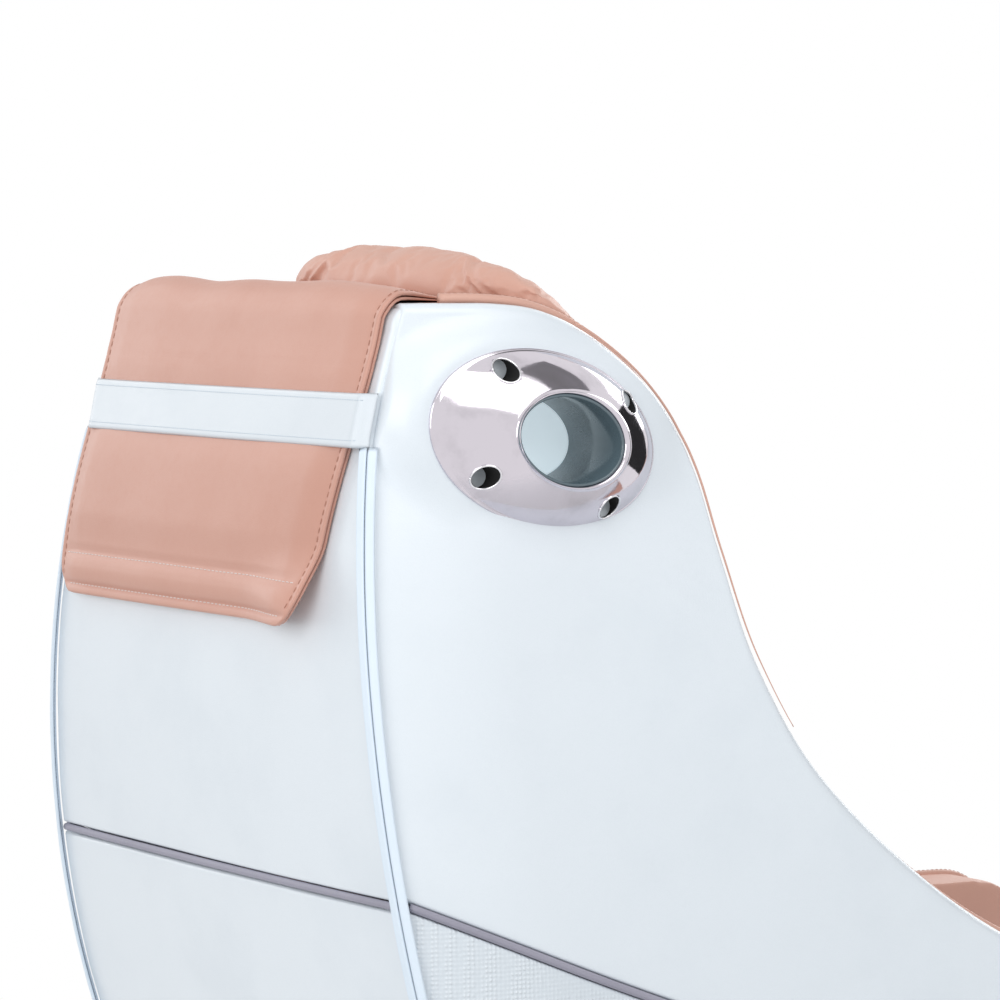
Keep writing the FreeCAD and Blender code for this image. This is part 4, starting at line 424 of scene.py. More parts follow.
def sampled(rows: Points, reach: Points, spots: Points) -> Points:
    """Rows at distances along a line whose own rows lie at reach."""
    return np.stack([np.interp(spots, reach, column) for column in rows.T], 1)


def directions(line: Points) -> Points:
    """Unit direction of a line at each of its points."""
    way = np.gradient(line, axis=0)
    return way / np.linalg.norm(way, axis=1, keepdims=True)


def side_normals(line: Points) -> Points:
    """Unit normals of a line of Y and Z, to the left of its run."""
    way = directions(line)
    return np.stack([-way[:, 1], way[:, 0]], 1)


def curve_through(points: Sequence[Sequence[float]], count: int) -> Points:
    """Points spread evenly along a smooth curve.

    Args:
        points: a few places that the curve goes through.
        count: how many points to give back.

    Returns:
        An array of count rows.
    """
    knots = np.array(points, float)
    ends = np.vstack([2 * knots[0] - knots[1], knots, 2 * knots[-1] - knots[-2]])
    fine = []
    for index in range(len(knots) - 1):
        a, b, c, d = ends[index:index + 4]
        t = np.linspace(0.0, 1.0, 24, endpoint=False)[:, None]
        fine.append(0.5 * (2 * b + (c - a) * t + (2 * a - 5 * b + 4 * c - d) * t ** 2
                           + (3 * b - a - 3 * c + d) * t ** 3))
    line = np.vstack(fine + [knots[-1:]])
    reach = travelled(line)
    return sampled(line, reach, np.linspace(0.0, reach[-1], count))


def edge_spread(length: float, pitch: float, edge: float = EDGE_WIDTH,
                fine: float = FINE_STEP) -> Points:
    """Shares from 0 to 1 that are close together near both ends.

    Args:
        length: real length of the run in metres.
        pitch: spacing in the middle.
        edge: width of each close stretch.
        fine: spacing inside it.

    Returns:
        The shares.
    """
    close = np.arange(0.0, edge, fine) / length
    middle = np.linspace(edge / length, 1.0 - edge / length,
                         max(3, int((length - 2 * edge) / pitch) + 1))
    return np.concatenate([close, middle, 1.0 - close[::-1]])


def grid_normals(grid: Points, outward: Sequence[float]) -> Points:
    """Unit normals of a grid of points, on the side that faces outward."""
    normal = np.cross(np.gradient(grid, axis=0), np.gradient(grid, axis=1))
    normal /= np.maximum(np.linalg.norm(normal, axis=2, keepdims=True), 1e-12)
    return -normal if np.sum(normal * np.array(outward, float)) < 0 else normal


def edge_distance(grid: Points) -> tuple[Points, Points, Points, Points]:
    """Distance of each grid point from the first row, last row, first column and last column."""
    along = np.linalg.norm(np.diff(grid, axis=0), axis=2)
    across = np.linalg.norm(np.diff(grid, axis=1), axis=2)
    start = np.concatenate([np.zeros((1, grid.shape[1])), np.cumsum(along, axis=0)], axis=0)
    left = np.concatenate([np.zeros((grid.shape[0], 1)), np.cumsum(across, axis=1)], axis=1)
    return start, start[-1:] - start, left, left[:, -1:] - left


def ripples(grid: Points, size: float, seed: float, stretch: Sequence[float] = (1, 1, 1)) -> Points:
    """Soft noise from about -1 to 1 at each grid point.

    Args:
        grid: points in metres.
        size: width of one swell.
        seed: shift that gives another pattern.
        stretch: how much longer the swells are along each axis.

    Returns:
        One number for each point.
    """
    flat = grid.reshape(-1, 3) / (np.array(stretch, float) * size)
    values = [noise.noise(Vector((x + seed, y - seed, z + 2 * seed))) for x, y, z in flat]
    return np.array(values).reshape(grid.shape[:2])


def rounded(distance: Points, radius: float) -> Points:
    """Height from 0 at an edge to 1 past a quarter round of that radius."""
    share = np.clip(distance / radius, 0.0, 1.0)
    return np.sqrt(np.clip(1.0 - (1.0 - share) ** 2, 0.0, 1.0))


def ring_faces(rings: int, count: int, wrap: bool = False, base: int = 0) -> list[tuple[int, ...]]:
    """Faces of a body made of rings.

    Args:
        rings: number of rings.
        count: points of each ring.
        wrap: whether the last ring joins the first. If not, both ends are capped.
        base: number of the first point.

    Returns:
        Corner numbers of each face.
    """
    faces = []
    for low in range(rings if wrap else rings - 1):
        high = (low + 1) % rings
        for j in range(count):
            k = (j + 1) % count
            faces.append((low * count + j, low * count + k, high * count + k, high * count + j))
    if not wrap:
        faces.append(tuple(reversed(range(count))))
        faces.append(tuple(range((rings - 1) * count, rings * count)))
    return [tuple(base + corner for corner in face) for face in faces]


def linked(name: str, data: bpy.types.ID) -> Piece:
    """New object of the scene that holds the data."""
    piece = bpy.data.objects.new(name, data)
    bpy.context.scene.collection.objects.link(piece)
    return piece


class Form:
    """Makes mesh objects that ride on a body and carry a finish."""

    @staticmethod
    def mesh(name: str, points: Points, faces: Sequence[Sequence[int]]) -> Piece:
        """Make an object from points and faces.

        Args:
            name: the piece's name.
            points: rows of X, Y and Z in metres.
            faces: corner numbers of each face.

        Returns:
            The object, shaded smooth.
        """
        data = bpy.data.meshes.new(name)
        data.from_pydata(points.tolist(), [], [list(face) for face in faces])
        data.update()
        work = bmesh.new()
        work.from_mesh(data)
        bmesh.ops.remove_doubles(work, verts=work.verts, dist=1e-6)
        bmesh.ops.recalc_face_normals(work, faces=work.faces)
        work.to_mesh(data)
        work.free()
        data.shade_smooth()
        return linked(name, data)

    @staticmethod
    def body(name: str, rings: Sequence[Points], wrap: bool = False) -> Piece:
        """Body from rings of points, capped at both ends or joined end to end."""
        return Form.mesh(name, np.vstack(rings), ring_faces(len(rings), len(rings[0]), wrap))

    @staticmethod
    def slab(name: str, outer: Points, inner: Points) -> Piece:
        """Close two grids that share their border into one piece.

        Args:
            name: the piece's name.
            outer: grid of points on the seen side.
            inner: grid of the same size on the hidden side.

        Returns:
            The object.
        """
        rows, columns = outer.shape[:2]
        count = rows * columns
        faces = []
        for i in range(rows - 1):
            for j in range(columns - 1):
                a = i * columns + j
                quad = (a, a + 1, a + columns + 1, a + columns)
                faces.append(quad)
                faces.append(tuple(count + k for k in reversed(quad)))
        ring = [(0, j) for j in range(columns)] + [(i, columns - 1) for i in range(1, rows)]
        ring += [(rows - 1, j) for j in range(columns - 2, -1, -1)]
        ring += [(i, 0) for i in range(rows - 2, 0, -1)]
        spots = [i * columns + j for i, j in ring]
        for a, b in zip(spots, spots[1:] + spots[:1]):
            faces.append((a, b, count + b, count + a))
        points = np.vstack([outer.reshape(-1, 3), inner.reshape(-1, 3)])
        return Form.mesh(name, points, faces)

    @staticmethod
    def padded_slab(name: str, middle: Points, thick: float, radii: Sequence[float],
                    lift: Points, outward: Sequence[float]) -> Piece:
        """Slab around a middle surface, with rounded borders.

        Args:
            name: the piece's name.
            middle: grid of points half way through the slab.
            thick: full thickness in metres.
            radii: rounding at the first row, last row, first column and last column.
            lift: extra height of the seen side at each point.
            outward: a direction that the seen side faces.

        Returns:
            The object.
        """
        normal = grid_normals(middle, outward)
        shape = np.ones(middle.shape[:2])
        for distance, radius in zip(edge_distance(middle), radii):
            shape = np.minimum(shape, rounded(distance, radius))
        seen = shape * thick / 2 + lift * smooth_step(shape, 0.0, 1.0)
        outer = middle + normal * seen[:, :, None]
        inner = middle - normal * (shape * thick / 2)[:, :, None]
        return Form.slab(name, outer, inner)

    @staticmethod
    def tube(name: str, path: Points, radius: Union[float, Points], sides: int = 12,
             flat: float = 1.0) -> Piece:
        """Round rod along a path.

        Args:
            name: the piece's name.
            path: rows of points.
            radius: one radius, or one for each point.
            sides: corners of the section.
            flat: how much the section is pressed along its second axis.

        Returns:
            The object.
        """
        size = np.broadcast_to(np.asarray(radius, float), (len(path),))
        way = directions(path)
        helper = np.array([0.0, 0.0, 1.0]) if abs(way[0][2]) < 0.9 else np.array([1.0, 0.0, 0.0])
        first = np.cross(way, helper)
        first /= np.linalg.norm(first, axis=1, keepdims=True)
        second = np.cross(way, first)
        turn = np.linspace(0.0, 2 * math.pi, sides, endpoint=False)
        rings = (path[:, None, :] + size[:, None, None]
                 * (np.cos(turn)[None, :, None] * first[:, None, :]
                    + flat * np.sin(turn)[None, :, None] * second[:, None, :]))
        return Form.body(name, rings)

    @staticmethod
    def stitches(name: str, path: Points, normals: Points, pitch: float, thread: float,
                 share: float = 0.66) -> Piece:
        """Row of sewn stitches that lie on a surface.

        Args:
            name: the piece's name.
            path: rows of points on the surface.
            normals: the surface's normal at each of them.
            pitch: distance from stitch to stitch.
            thread: thickness of the thread.
            share: how much of the pitch each stitch covers.

        Returns:
            One object with all the stitches.
        """
        reach = travelled(path)
        count = max(1, int(reach[-1] / pitch))
        points = []
        faces = []
        for index in range(count):
            middle = (index + 0.5) * reach[-1] / count
            half = pitch * share / 2
            for along, size, up in STITCH_PROFILE:
                where = np.array([middle + along * half, middle + along * half + 1e-4])
                spot, ahead = sampled(path, reach, where)
                normal = sampled(normals, reach, where)[0]
                way = ahead - spot
                way /= max(np.linalg.norm(way), TINY)
                across = np.cross(way, normal)
                across /= max(np.linalg.norm(across), TINY)
                centre = spot + normal * thread * 0.5 * up
                for corner in range(STITCH_SIDES):
                    angle = 2 * math.pi * corner / STITCH_SIDES
                    points.append(centre + thread * 0.5 * size
                                  * (math.cos(angle) * across + math.sin(angle) * normal))
            base = index * STITCH_SIDES * len(STITCH_PROFILE)
            faces += ring_faces(len(STITCH_PROFILE), STITCH_SIDES, base=base)
        return Form.mesh(name, np.array(points), faces)

    @staticmethod
    def applied(source: Piece, name: str) -> Piece:
        """New object with the modifiers of another one applied."""
        graph = bpy.context.evaluated_depsgraph_get()
        return linked(name, bpy.data.meshes.new_from_object(source.evaluated_get(graph)))

    @staticmethod
    def cut(piece: Piece, bits: Sequence[Piece]) -> Piece:
        """Cut plugs out of a piece and clear them away.

        Args:
            piece: the piece to cut.
            bits: closed plugs, which are removed.

        Returns:
            A new object with the piece's name.
        """
        for bit in bits:
            hole = piece.modifiers.new("hole", "BOOLEAN")
            hole.object = bit
            hole.solver = "EXACT"
        name = piece.name
        done = Form.applied(piece, name + "_cut")
        for old in (piece, *bits):
            bpy.data.objects.remove(old)
        done.name = name
        return done

    @staticmethod
    def flipped(piece: Piece, name: str) -> Piece:
        """Mirror image of a piece across the middle plane.

        Args:
            piece: the piece to copy.
            name: the copy's name.

        Returns:
            The copy.
        """
        data = piece.data.copy()
        data.name = name
        work = bmesh.new()
        work.from_mesh(data)
        for vertex in work.verts:
            vertex.co.x = -vertex.co.x
        bmesh.ops.reverse_faces(work, faces=work.faces)
        work.to_mesh(data)
        work.free()
        return linked(name, data)


# Shell surface


@dataclass(frozen=True)
class ShellForm:
    """Outer surface of the shell as formulas, in metres."""

    rear_y_at: float = 0.699
    rear_z: float = 1.0
    radius_up: float = 1.1
    radius_down: float = 1.3
    top_z: float = 1.344
    skirt_z: float = 0.350
    hip_half: float = 0.350
    hip_z: float = 0.640
    shoulder_half: float = 0.278
    shoulder_z: float = 1.220
    flare: float = 1.7
    bulge: float = 0.024
    bulge_run: float = 0.140
    rear_crown: float = 0.006
    wing_thick: float = 0.020
    arm_thick: float = 0.040
    ridge_radius: float = 0.026
    nose_y: float = -0.520
    nose_radius: float = 0.075
    arm_front_z: float = 0.660
    swoop: tuple = ((-0.445, 0.660), (-0.150, 0.668), (-0.020, 0.710), (0.105, 0.788),
                    (0.220, 0.894), (0.284, 1.002), (0.316, 1.105), (0.335, 1.183),
                    (0.358, 1.232), (0.400, 1.279), (0.455, 1.3175),
                    (0.505, 1.3370), (0.552, 1.3432), (0.600, 1.344))
    piping: tuple = ((0.729, 0.820), (0.420, 0.693), (0.150, 0.600), (-0.150, 0.552),
                     (-0.550, 0.540))
    skirt: tuple = ((-0.520, 0.520), (-0.400, 0.512), (-0.270, 0.470), (-0.190, 0.400),
                    (-0.100, 0.350))

    def rear_y(self, z: Points) -> Points:
        """Rear face at the corner seam, by height."""
        z = np.asarray(z, float)
        radius = np.where(z > self.rear_z, self.radius_up, self.radius_down)
        return self.rear_y_at - radius + np.sqrt(radius ** 2 - (z - self.rear_z) ** 2)

    def seam_half(self, z: Points) -> Points:
        """Half width at the corner seam, by height."""
        share = np.clip((np.asarray(z, float) - self.hip_z) / (self.shoulder_z - self.hip_z), 0, 1)
        return self.hip_half - (self.hip_half - self.shoulder_half) * share ** self.flare

    def arm_share(self, z: Points) -> Points:
        """1 at the arms and 0 at the shoulders."""
        return (self.seam_half(z) - self.shoulder_half) / (self.hip_half - self.shoulder_half)

    def side_x(self, y: Points, z: Points) -> Points:
        """Half width of the side wall, which swells ahead of the seam."""
        radius = (self.bulge ** 2 + self.bulge_run ** 2) / (2 * self.bulge)
        back = np.clip(self.bulge_run - (self.rear_y(z) - np.asarray(y, float)), 0.0, None)
        return self.seam_half(z) + self.bulge - radius + np.sqrt(radius ** 2 - back ** 2)

    def thick(self, z: Points) -> Points:
        """Thickness of the side wall."""
        return self.wing_thick + (self.arm_thick - self.wing_thick) * self.arm_share(z)

    def rear(self, x: Points, z: Points, off: float = 0.0) -> Points:
        """Points of the rear face at the given places, moved out by off."""
        share = np.clip(np.asarray(x, float) / self.seam_half(z), -1.0, 1.0)
        y = self.rear_y(z) + self.rear_crown * (1.0 - share ** 2) + off
        return np.stack(np.broadcast_arrays(np.asarray(x, float), y, np.asarray(z, float)), -1)

    def piping_z(self, y: Points) -> Points:
        """Height of the side piping."""
        line = curve_through(self.piping, 200)[::-1]
        return np.interp(y, line[:, 0], line[:, 1])

    def top_edge(self, proud: float, count: int) -> Points:
        """Side view of the edge from the arm's nose over the swoop and wing to the rear.

        Args:
            proud: how far the edge is moved outward.
            count: number of points.

        Returns:
            Rows of Y and Z.
        """
        turn = np.linspace(math.pi, math.pi / 2, 10)[:-1]
        centre = np.array([self.nose_y + self.nose_radius, self.arm_front_z - self.nose_radius])
        nose = centre + self.nose_radius * np.stack([np.cos(turn), np.sin(turn)], 1)
        rear = np.array([[float(self.rear_y(self.top_z)), self.top_z]])
        line = np.vstack([nose, curve_through(self.swoop, 160), rear])
        line = line + proud * side_normals(line)
        reach = travelled(line)
        spots = edge_spread(reach[-1], reach[-1] / count) * reach[-1]
        return sampled(line, reach, spots)

    def seam_line(self, low: float, high: float, shares: Points) -> Points:
        """Side view of the corner seam between two heights."""
        z = low + (high - low) * shares
        return np.stack([self.rear_y(z), z], 1)


def patch(top: Points, low: Points, front: Points, rear: Points) -> Points:
    """Fill four joined edges with a grid.

    Args:
        top: upper edge from front to rear.
        low: lower edge, with as many points.
        front: front edge from low to high.
        rear: rear edge, with as many points.

    Returns:
        Grid of points, rows from low to high.
    """
    u, v = travelled(top), travelled(rear)
    u = (u / u[-1])[None, :, None]
    v = (v / v[-1])[:, None, None]
    corners = ((1 - u) * (1 - v) * low[0] + u * (1 - v) * low[-1]
               + (1 - u) * v * top[0] + u * v * top[-1])
    return ((1 - v) * low[None] + v * top[None] + (1 - u) * front[:, None]
            + u * rear[:, None] - corners)


SHELL = ShellForm()


def side_slab(name: str, flat: Points, outer_x: Points, inner_x: Points, radii: Sequence[Points],
              depths: Sequence[float], lift: Points) -> Piece:
    """Slab of a side wall between two half widths, with rounded borders, on the +X side.

    Args:
        name: the piece's name.
        flat: grid of Y and Z, rows from low to high.
        outer_x: half width of the outer side at each point.
        inner_x: half width of the inner side.
        radii: rounding at the lower, upper, front and rear border.
        depths: share of the thickness that each rounding takes.
        lift: extra height of the outer side.

    Returns:
        The object.
    """
    grid = np.dstack([(outer_x + inner_x) / 2, flat])
    shape = np.ones(flat.shape[:2])
    for distance, radius, depth in zip(edge_distance(grid), radii, depths):
        shape = np.minimum(shape, 1.0 - depth * (1.0 - rounded(distance, radius)))
    middle = (outer_x + inner_x) / 2
    half = (outer_x - inner_x) / 2
    extra = lift * smooth_step(shape, 0.3, 1.0)
    outer = np.dstack([middle + half * shape + extra, flat])
    inner = np.dstack([middle - half * shape, flat])
    return Form.slab(name, outer, inner)


# Placing


def place(piece: Piece, body: str, material: Material, slot: str,
          *nodes: str) -> Piece:
    """Dress a piece and tie it to the frame.

    Args:
        piece: the new piece.
        body: CAD body that it rides on.
        material: its finish.
        slot: the record's material slot; not used.
        nodes: CAD nodes that it stands for.

    Returns:
        The same piece.
    """
    piece.data.materials.clear()
    piece.data.materials.append(material)
    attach(piece, body)
    if nodes:
        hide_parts(*nodes)
    LOG.info("%s rides on %s", piece.name, body)
    return piece


def place_pair(piece: Piece, material: Material, slot: str, *nodes: str
               ) -> tuple[Piece, Piece]:
    """Dress a piece of the shell's left side and its mirror image.

    Args:
        piece: the left piece.
        material: the finish of both.
        slot: the record's material slot.
        nodes: CAD nodes that both stand for.

    Returns:
        The left and the right piece.
    """
    other = Form.flipped(piece, piece.name.replace("left", "right"))
    place(piece, "shell", material, slot, *nodes)
    return piece, place(other, "shell", material, slot, *nodes)


# Sub-assemblies


@dataclass
class Upholstery:
    """White leather covers of the shell: wings with arms, back, and the beaded lower band."""

    welt: float = 0.004
    seam_gap: float = 0.0002
    back_thick: float = 0.015
    piping_rear_z: float = 0.797
    pitch: float = 0.007
    behind: float = 0.004
    tuck_from: float = 0.45
    wing_rise: float = 0.54
    band_run: float = 1.15
    band_rise: float = 0.45
    wrinkle_at: Pair = (0.372, 1.085)
    wrinkle_way: Pair = (0.80, 0.60)
    wrinkle_size: Pair = (0.055, 0.050)
    wrinkle_depth: float = 0.0006
    fill: float = 0.95

    def side_upper(self) -> Piece:
        """Wing and arm cover on the sitter's left."""
        top = SHELL.top_edge(0.0, 230)
        top[:, 0] -= self.behind * smooth_step(top[:, 0], self.tuck_from, top[-1, 0])
        end_y = float(SHELL.rear_y(self.piping_rear_z + 0.008)) - self.behind
        span = (end_y - SHELL.nose_y) / (top[-1, 0] - SHELL.nose_y)
        low_y = SHELL.nose_y + (top[:, 0] - SHELL.nose_y) * span
        low = np.stack([low_y, SHELL.piping_z(low_y) + self.welt], 1)
        shares = edge_spread(self.wing_rise, self.pitch)
        y, z, outer = self._wall(top, low, shares, (low[-1, 1], SHELL.top_z))
        thick = SHELL.thick(z)
        port = Port()
        lift = (self._swell(np.dstack([outer, y, z]), 3.0) + self._wrinkles(y, z)
                + port.collar(y, z, outer))
        cover = side_slab(Side.LEFT.named("wing_cover"), np.dstack([y, z]), outer, outer - thick,
                          (0.004, thick / 2, 0.018, 0.003), (0.25, 1.0, 1.0, 0.1), lift)
        return Form.cut(cover, [port.opening(0.001)])

    def _wall(self, top: Points, low: Points, shares: Points, seam: Pair
              ) -> tuple[Points, Points, Points]:
        """Grid of a side cover between its edges.

        Args:
            top: upper edge in side view.
            low: lower edge, with as many points.
            shares: where the rows lie, from low to high.
            seam: lower and upper end of the cover at the corner seam.

        Returns:
            Y, Z and half width at each point.
        """
        rear = SHELL.seam_line(*seam, shares) - [self.behind, 0.0]
        front = low[0] + (top[0] - low[0]) * shares[:, None]
        y, z = np.moveaxis(patch(top, low, front, rear), 2, 0)
        return y, z, SHELL.side_x(y, z)

    def _wrinkles(self, y: Points, z: Points) -> Points:
        """Faint slanting wrinkles where the leather is pulled round the wing's front."""
        off_y, off_z = y - self.wrinkle_at[0], z - self.wrinkle_at[1]
        cos, sin = self.wrinkle_way
        along, across = off_y * cos + off_z * sin, off_z * cos - off_y * sin
        long, wide = self.wrinkle_size
        near = np.exp(-(along / long) ** 2 - (across / wide) ** 2)
        return near * self.wrinkle_depth * np.sin(across * 310.0 + 3.0 * np.sin(along * 24.0))

    @staticmethod
    def _swell(grid: Points, seed: float) -> Points:
        """Slack of the leather: long soft waves and a few diagonal creases."""
        broad = ripples(grid, 0.16, seed) * 0.0012
        fine = ripples(grid, 0.05, seed + 9.0, (1.0, 1.4, 0.7)) * 0.0004
        return broad + fine

    def side_lower(self) -> Piece:
        """Beaded band below the piping on the sitter's left."""
        share = edge_spread(self.band_run, self.band_run / 190, HEM_WIDTH)
        end_y = float(SHELL.rear_y(self.piping_rear_z)) - self.behind
        top_y = SHELL.nose_y + (end_y - SHELL.nose_y) * share
        top = np.stack([top_y, SHELL.piping_z(top_y) - self.welt], 1)
        rear_low = float(SHELL.rear_y(SHELL.skirt_z)) - self.behind
        hem = np.vstack([curve_through(SHELL.skirt, 60), [[rear_low, SHELL.skirt_z]]])
        low_y = SHELL.nose_y + (rear_low - SHELL.nose_y) * share
        low = np.stack([low_y, np.interp(low_y, hem[:, 0], hem[:, 1])], 1)
        shares = edge_spread(self.band_rise, 0.008, HEM_WIDTH)
        y, z, outer = self._wall(top, low, shares, (SHELL.skirt_z, top[-1, 1]))
        lift = self._swell(np.dstack([outer, y, z]), 14.0)
        return side_slab(Side.LEFT.named("lower_cover"), np.dstack([y, z]), outer,
                         outer - SHELL.thick(z), (0.008, 0.004, 0.010, 0.003),
                         (0.4, 0.25, 0.6, 0.1), lift)

    def back(self, name: str, low: float, high: float, over_ridge: bool) -> Piece:
        """Back cover between two heights.

        Args:
            name: the piece's name.
            low: lower edge.
            high: upper edge.
            over_ridge: whether the cover turns forward over the top.

        Returns:
            The object.
        """
        off = -self.back_thick / 2
        z = low + (high - low) * edge_spread(high - low, self.pitch, HEM_WIDTH)
        across = edge_spread(0.6, self.pitch) * 2 - 1
        rows = [SHELL.rear((SHELL.seam_half(level) - self.seam_gap) * across, level, off)
                for level in z]
        if over_ridge:
            half = SHELL.seam_half(SHELL.top_z) - self.seam_gap
            last = SHELL.rear(half * across, high, off)
            radius = SHELL.ridge_radius - self.back_thick / 2
            for turn in np.linspace(0.0, math.pi / 2, 9)[1:]:
                row = last.copy()
                row[:, 1] -= radius * (1 - math.cos(turn))
                row[:, 2] += radius * math.sin(turn)
                rows.append(row)
        grid = np.array(rows)
        lift = self._swell(grid, 31.0 + low)
        return Form.padded_slab(name, grid, self.back_thick, (0.004, 0.006, 0.006, 0.006), lift,
                                (0, 1, 0))

    def build(self, white: Material, beads: Material) -> None:
        """Make the covers and put them in place of their plain solids."""
        upper = self.side_upper()
        lower = self.side_lower()
        for side, wing, band in ((Side.LEFT, upper, lower),
                                 (Side.RIGHT, Form.flipped(upper, Side.RIGHT.named("wing_cover")),
                                  Form.flipped(lower, Side.RIGHT.named("lower_cover")))):
            place(wing, "shell", white, "white_leather", side.named("side_panel"))
            place(band, "shell", beads, "beaded_white", "lower_side_panels")
        turn_z = SHELL.top_z - SHELL.ridge_radius
        top = self.back("back_cover_upper", self.piping_rear_z + self.welt, turn_z, True)
        place(top, "shell", white, "white_leather", "rear_panel_upper")
        low = self.back("back_cover_lower", SHELL.skirt_z, self.piping_rear_z - self.welt, False)
        place(low, "shell", white, "white_leather", "rear_panel_lower")


@dataclass
class Welts:
    """Grey piping along the covers and the covered zip down each rear corner."""

    side_radius: float = 0.0042
    rear_radius: float = 0.0036
    rear_z: float = 0.797
    rear_in: float = 0.0085
    band: float = 0.0088
    band_gap: float = 0.0009
    band_thick: float = 0.0028
    cut_width: float = 0.0108
    zip_low: float = 0.362
    zip_high: float = 1.213
    outward: Pair = (0.593, 0.805)

    def side_cord(self) -> Piece:
        """Piping between the upper and lower side covers on the sitter's left."""
        end_y = float(SHELL.rear_y(self.rear_z)) - self.rear_in
        y = np.linspace(SHELL.nose_y + 0.002, end_y, 220)
        z = SHELL.piping_z(y)
        path = np.stack([SHELL.side_x(y, z) - 0.0008, y, z], 1)
        return Form.tube(Side.LEFT.named("side_piping"), path, self.side_radius, 14, 0.9)

    def rear_cord(self) -> Piece:
        """Piping across the back."""
        half = float(SHELL.seam_half(self.rear_z)) - self.rear_in
        path = SHELL.rear(np.linspace(-half, half, 90), self.rear_z, -0.0006)
        return Form.tube("rear_piping", path, self.rear_radius, 14)

    def _corner(self, z: Points, along: float, out: float) -> Points:
        """Points beside the corner seam, moved along the corner's face and outward."""
        way = np.array([self.outward[1], -self.outward[0], 0.0])
        out_way = np.array([self.outward[0], self.outward[1], 0.0])
        seam = np.stack([SHELL.seam_half(z), SHELL.rear_y(z), z], 1)
        return seam + way * along + out_way * out

    def zip_band(self, sign: int) -> Piece:
        """One of the two bands that cover the zip.

        Args:
            sign: 1 for the side's band, -1 for the back's.

        Returns:
            The band on the sitter's left.
        """
        z = np.linspace(self.zip_low, self.zip_high, 150)
        columns = []
        for share in np.linspace(-0.5, 0.5, 9):
            along = sign * (self.band_gap / 2 + self.band / 2) + share * self.band
            fall = 0.30 * (abs(along) - self.band_gap / 2)
            columns.append(self._corner(z, along, 0.0046 - fall))
        grid = np.stack(columns, 1)
        wave = ripples(grid, 0.04, 5.0 + sign) * 0.00035
        name = "zip_band_side_left" if sign > 0 else "zip_band_back_left"
        return Form.padded_slab(name, grid, self.band_thick, (0.001, 0.001, 0.0014, 0.0014), wave,
                                (*self.outward, 0.0))

    def zip_chain(self) -> Piece:
        """Dark coil of the zip between its bands."""
        z = np.linspace(self.zip_low + 0.003, self.zip_high - 0.002, 420)
        path = self._corner(z, 0.0, 0.0026)
        path[:, 0] += 0.0002 * np.cos(np.arange(len(z)) * math.pi)
        return Form.tube("zip_chain_left", path, 0.0010, 6)

    def build(self, grey: Material, tape: Material,
              dark: Material) -> None:
        """Make the cords, bands and chains on both sides."""
        cord = self.side_cord()
        place(cord, "shell", grey, "grey_piping", "grey_piping")
        place(Form.flipped(cord, Side.RIGHT.named("side_piping")), "shell", grey, "grey_piping")
        place(self.rear_cord(), "shell", grey, "grey_piping")
        for piece, finish in ((self.zip_band(1), tape), (self.zip_band(-1), tape),
                              (self.zip_chain(), dark)):
            for part in place_pair(piece, finish, "zip_tape", "zip_plackets"):
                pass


@dataclass
class Flap:
    """Two-ply leather tail of the pillow, which hangs over the back under a strap."""

    half: float = 0.262
    front_y: float = 0.500
    low_z: float = 1.045
    corner: float = 0.034
    under_ply: Pair = (0.0012, 0.0046)
    over_ply: Pair = (0.0058, 0.0130)
    cross_seams: Pair = (1.088, 1.0555)
    strap_z: Pair = (1.212, 1.262)
    strap_thick: float = 0.0035
    strap_length: float = 0.575
    length: float = 0.465
    narrow: float = 0.024
    thin: float = 0.0030
    pressed: float = 0.26
    slid: Pair = (-0.006, 0.038)
    loose: float = 0.024
    strap_press: float = 0.0025
    seam_press: float = 0.0030
    roll: float = 0.0036
    belly: float = 0.0030
    edge_press: float = 0.0008
    humps: tuple = ((0.009, 0.190, 0.075), (0.006, 0.02, 0.095), (0.006, -0.14, 0.08))
    stitch_in: float = 0.008
    stitch: Triple = (0.0085, 0.0011, 0.7)
    cross_stitch: Triple = (0.0075, 0.0011, 0.7)
    strap_stitch: Pair = (0.0042, 0.0008)

    def _run(self) -> tuple[Points, Points]:
        """Side view of the surface that the flap lies on, and its outward normals."""
        turn_z = SHELL.top_z - SHELL.ridge_radius
        turn_y = float(SHELL.rear_y(turn_z)) + 0.007 - SHELL.ridge_radius
        flat = np.stack([np.linspace(self.front_y, turn_y, 26)[:-1],
                         np.full(25, SHELL.top_z + 0.0005)], 1)
        angle = np.radians([90.0, 72.0, 54.0, 37.0, 22.0])
        radius = SHELL.ridge_radius + 0.0005
        bend = np.stack([turn_y + radius * np.cos(angle), turn_z + radius * np.sin(angle)], 1)
        under = np.array([turn_z - 0.012, turn_z - 0.030])
        knots = np.vstack([bend, np.stack([SHELL.rear_y(under) + 0.0072, under], 1)])
        z = under[-1] + (self.low_z - under[-1]) * edge_spread(0.243, 0.0042, 0.028, 0.0014)
        z = z[(z < under[-1] - 0.003)]
        down = np.stack([SHELL.rear_y(z) + 0.007, z], 1)
        line = np.vstack([flat, curve_through(knots, 24), down])
        return line, side_normals(line)

    def _shift(self, z: Points) -> Points:
        """How far the flap has slid to the sitter's left at each height."""
        start, more = self.slid
        return start + more * smooth_step(-np.asarray(z), -1.300, -1.060)

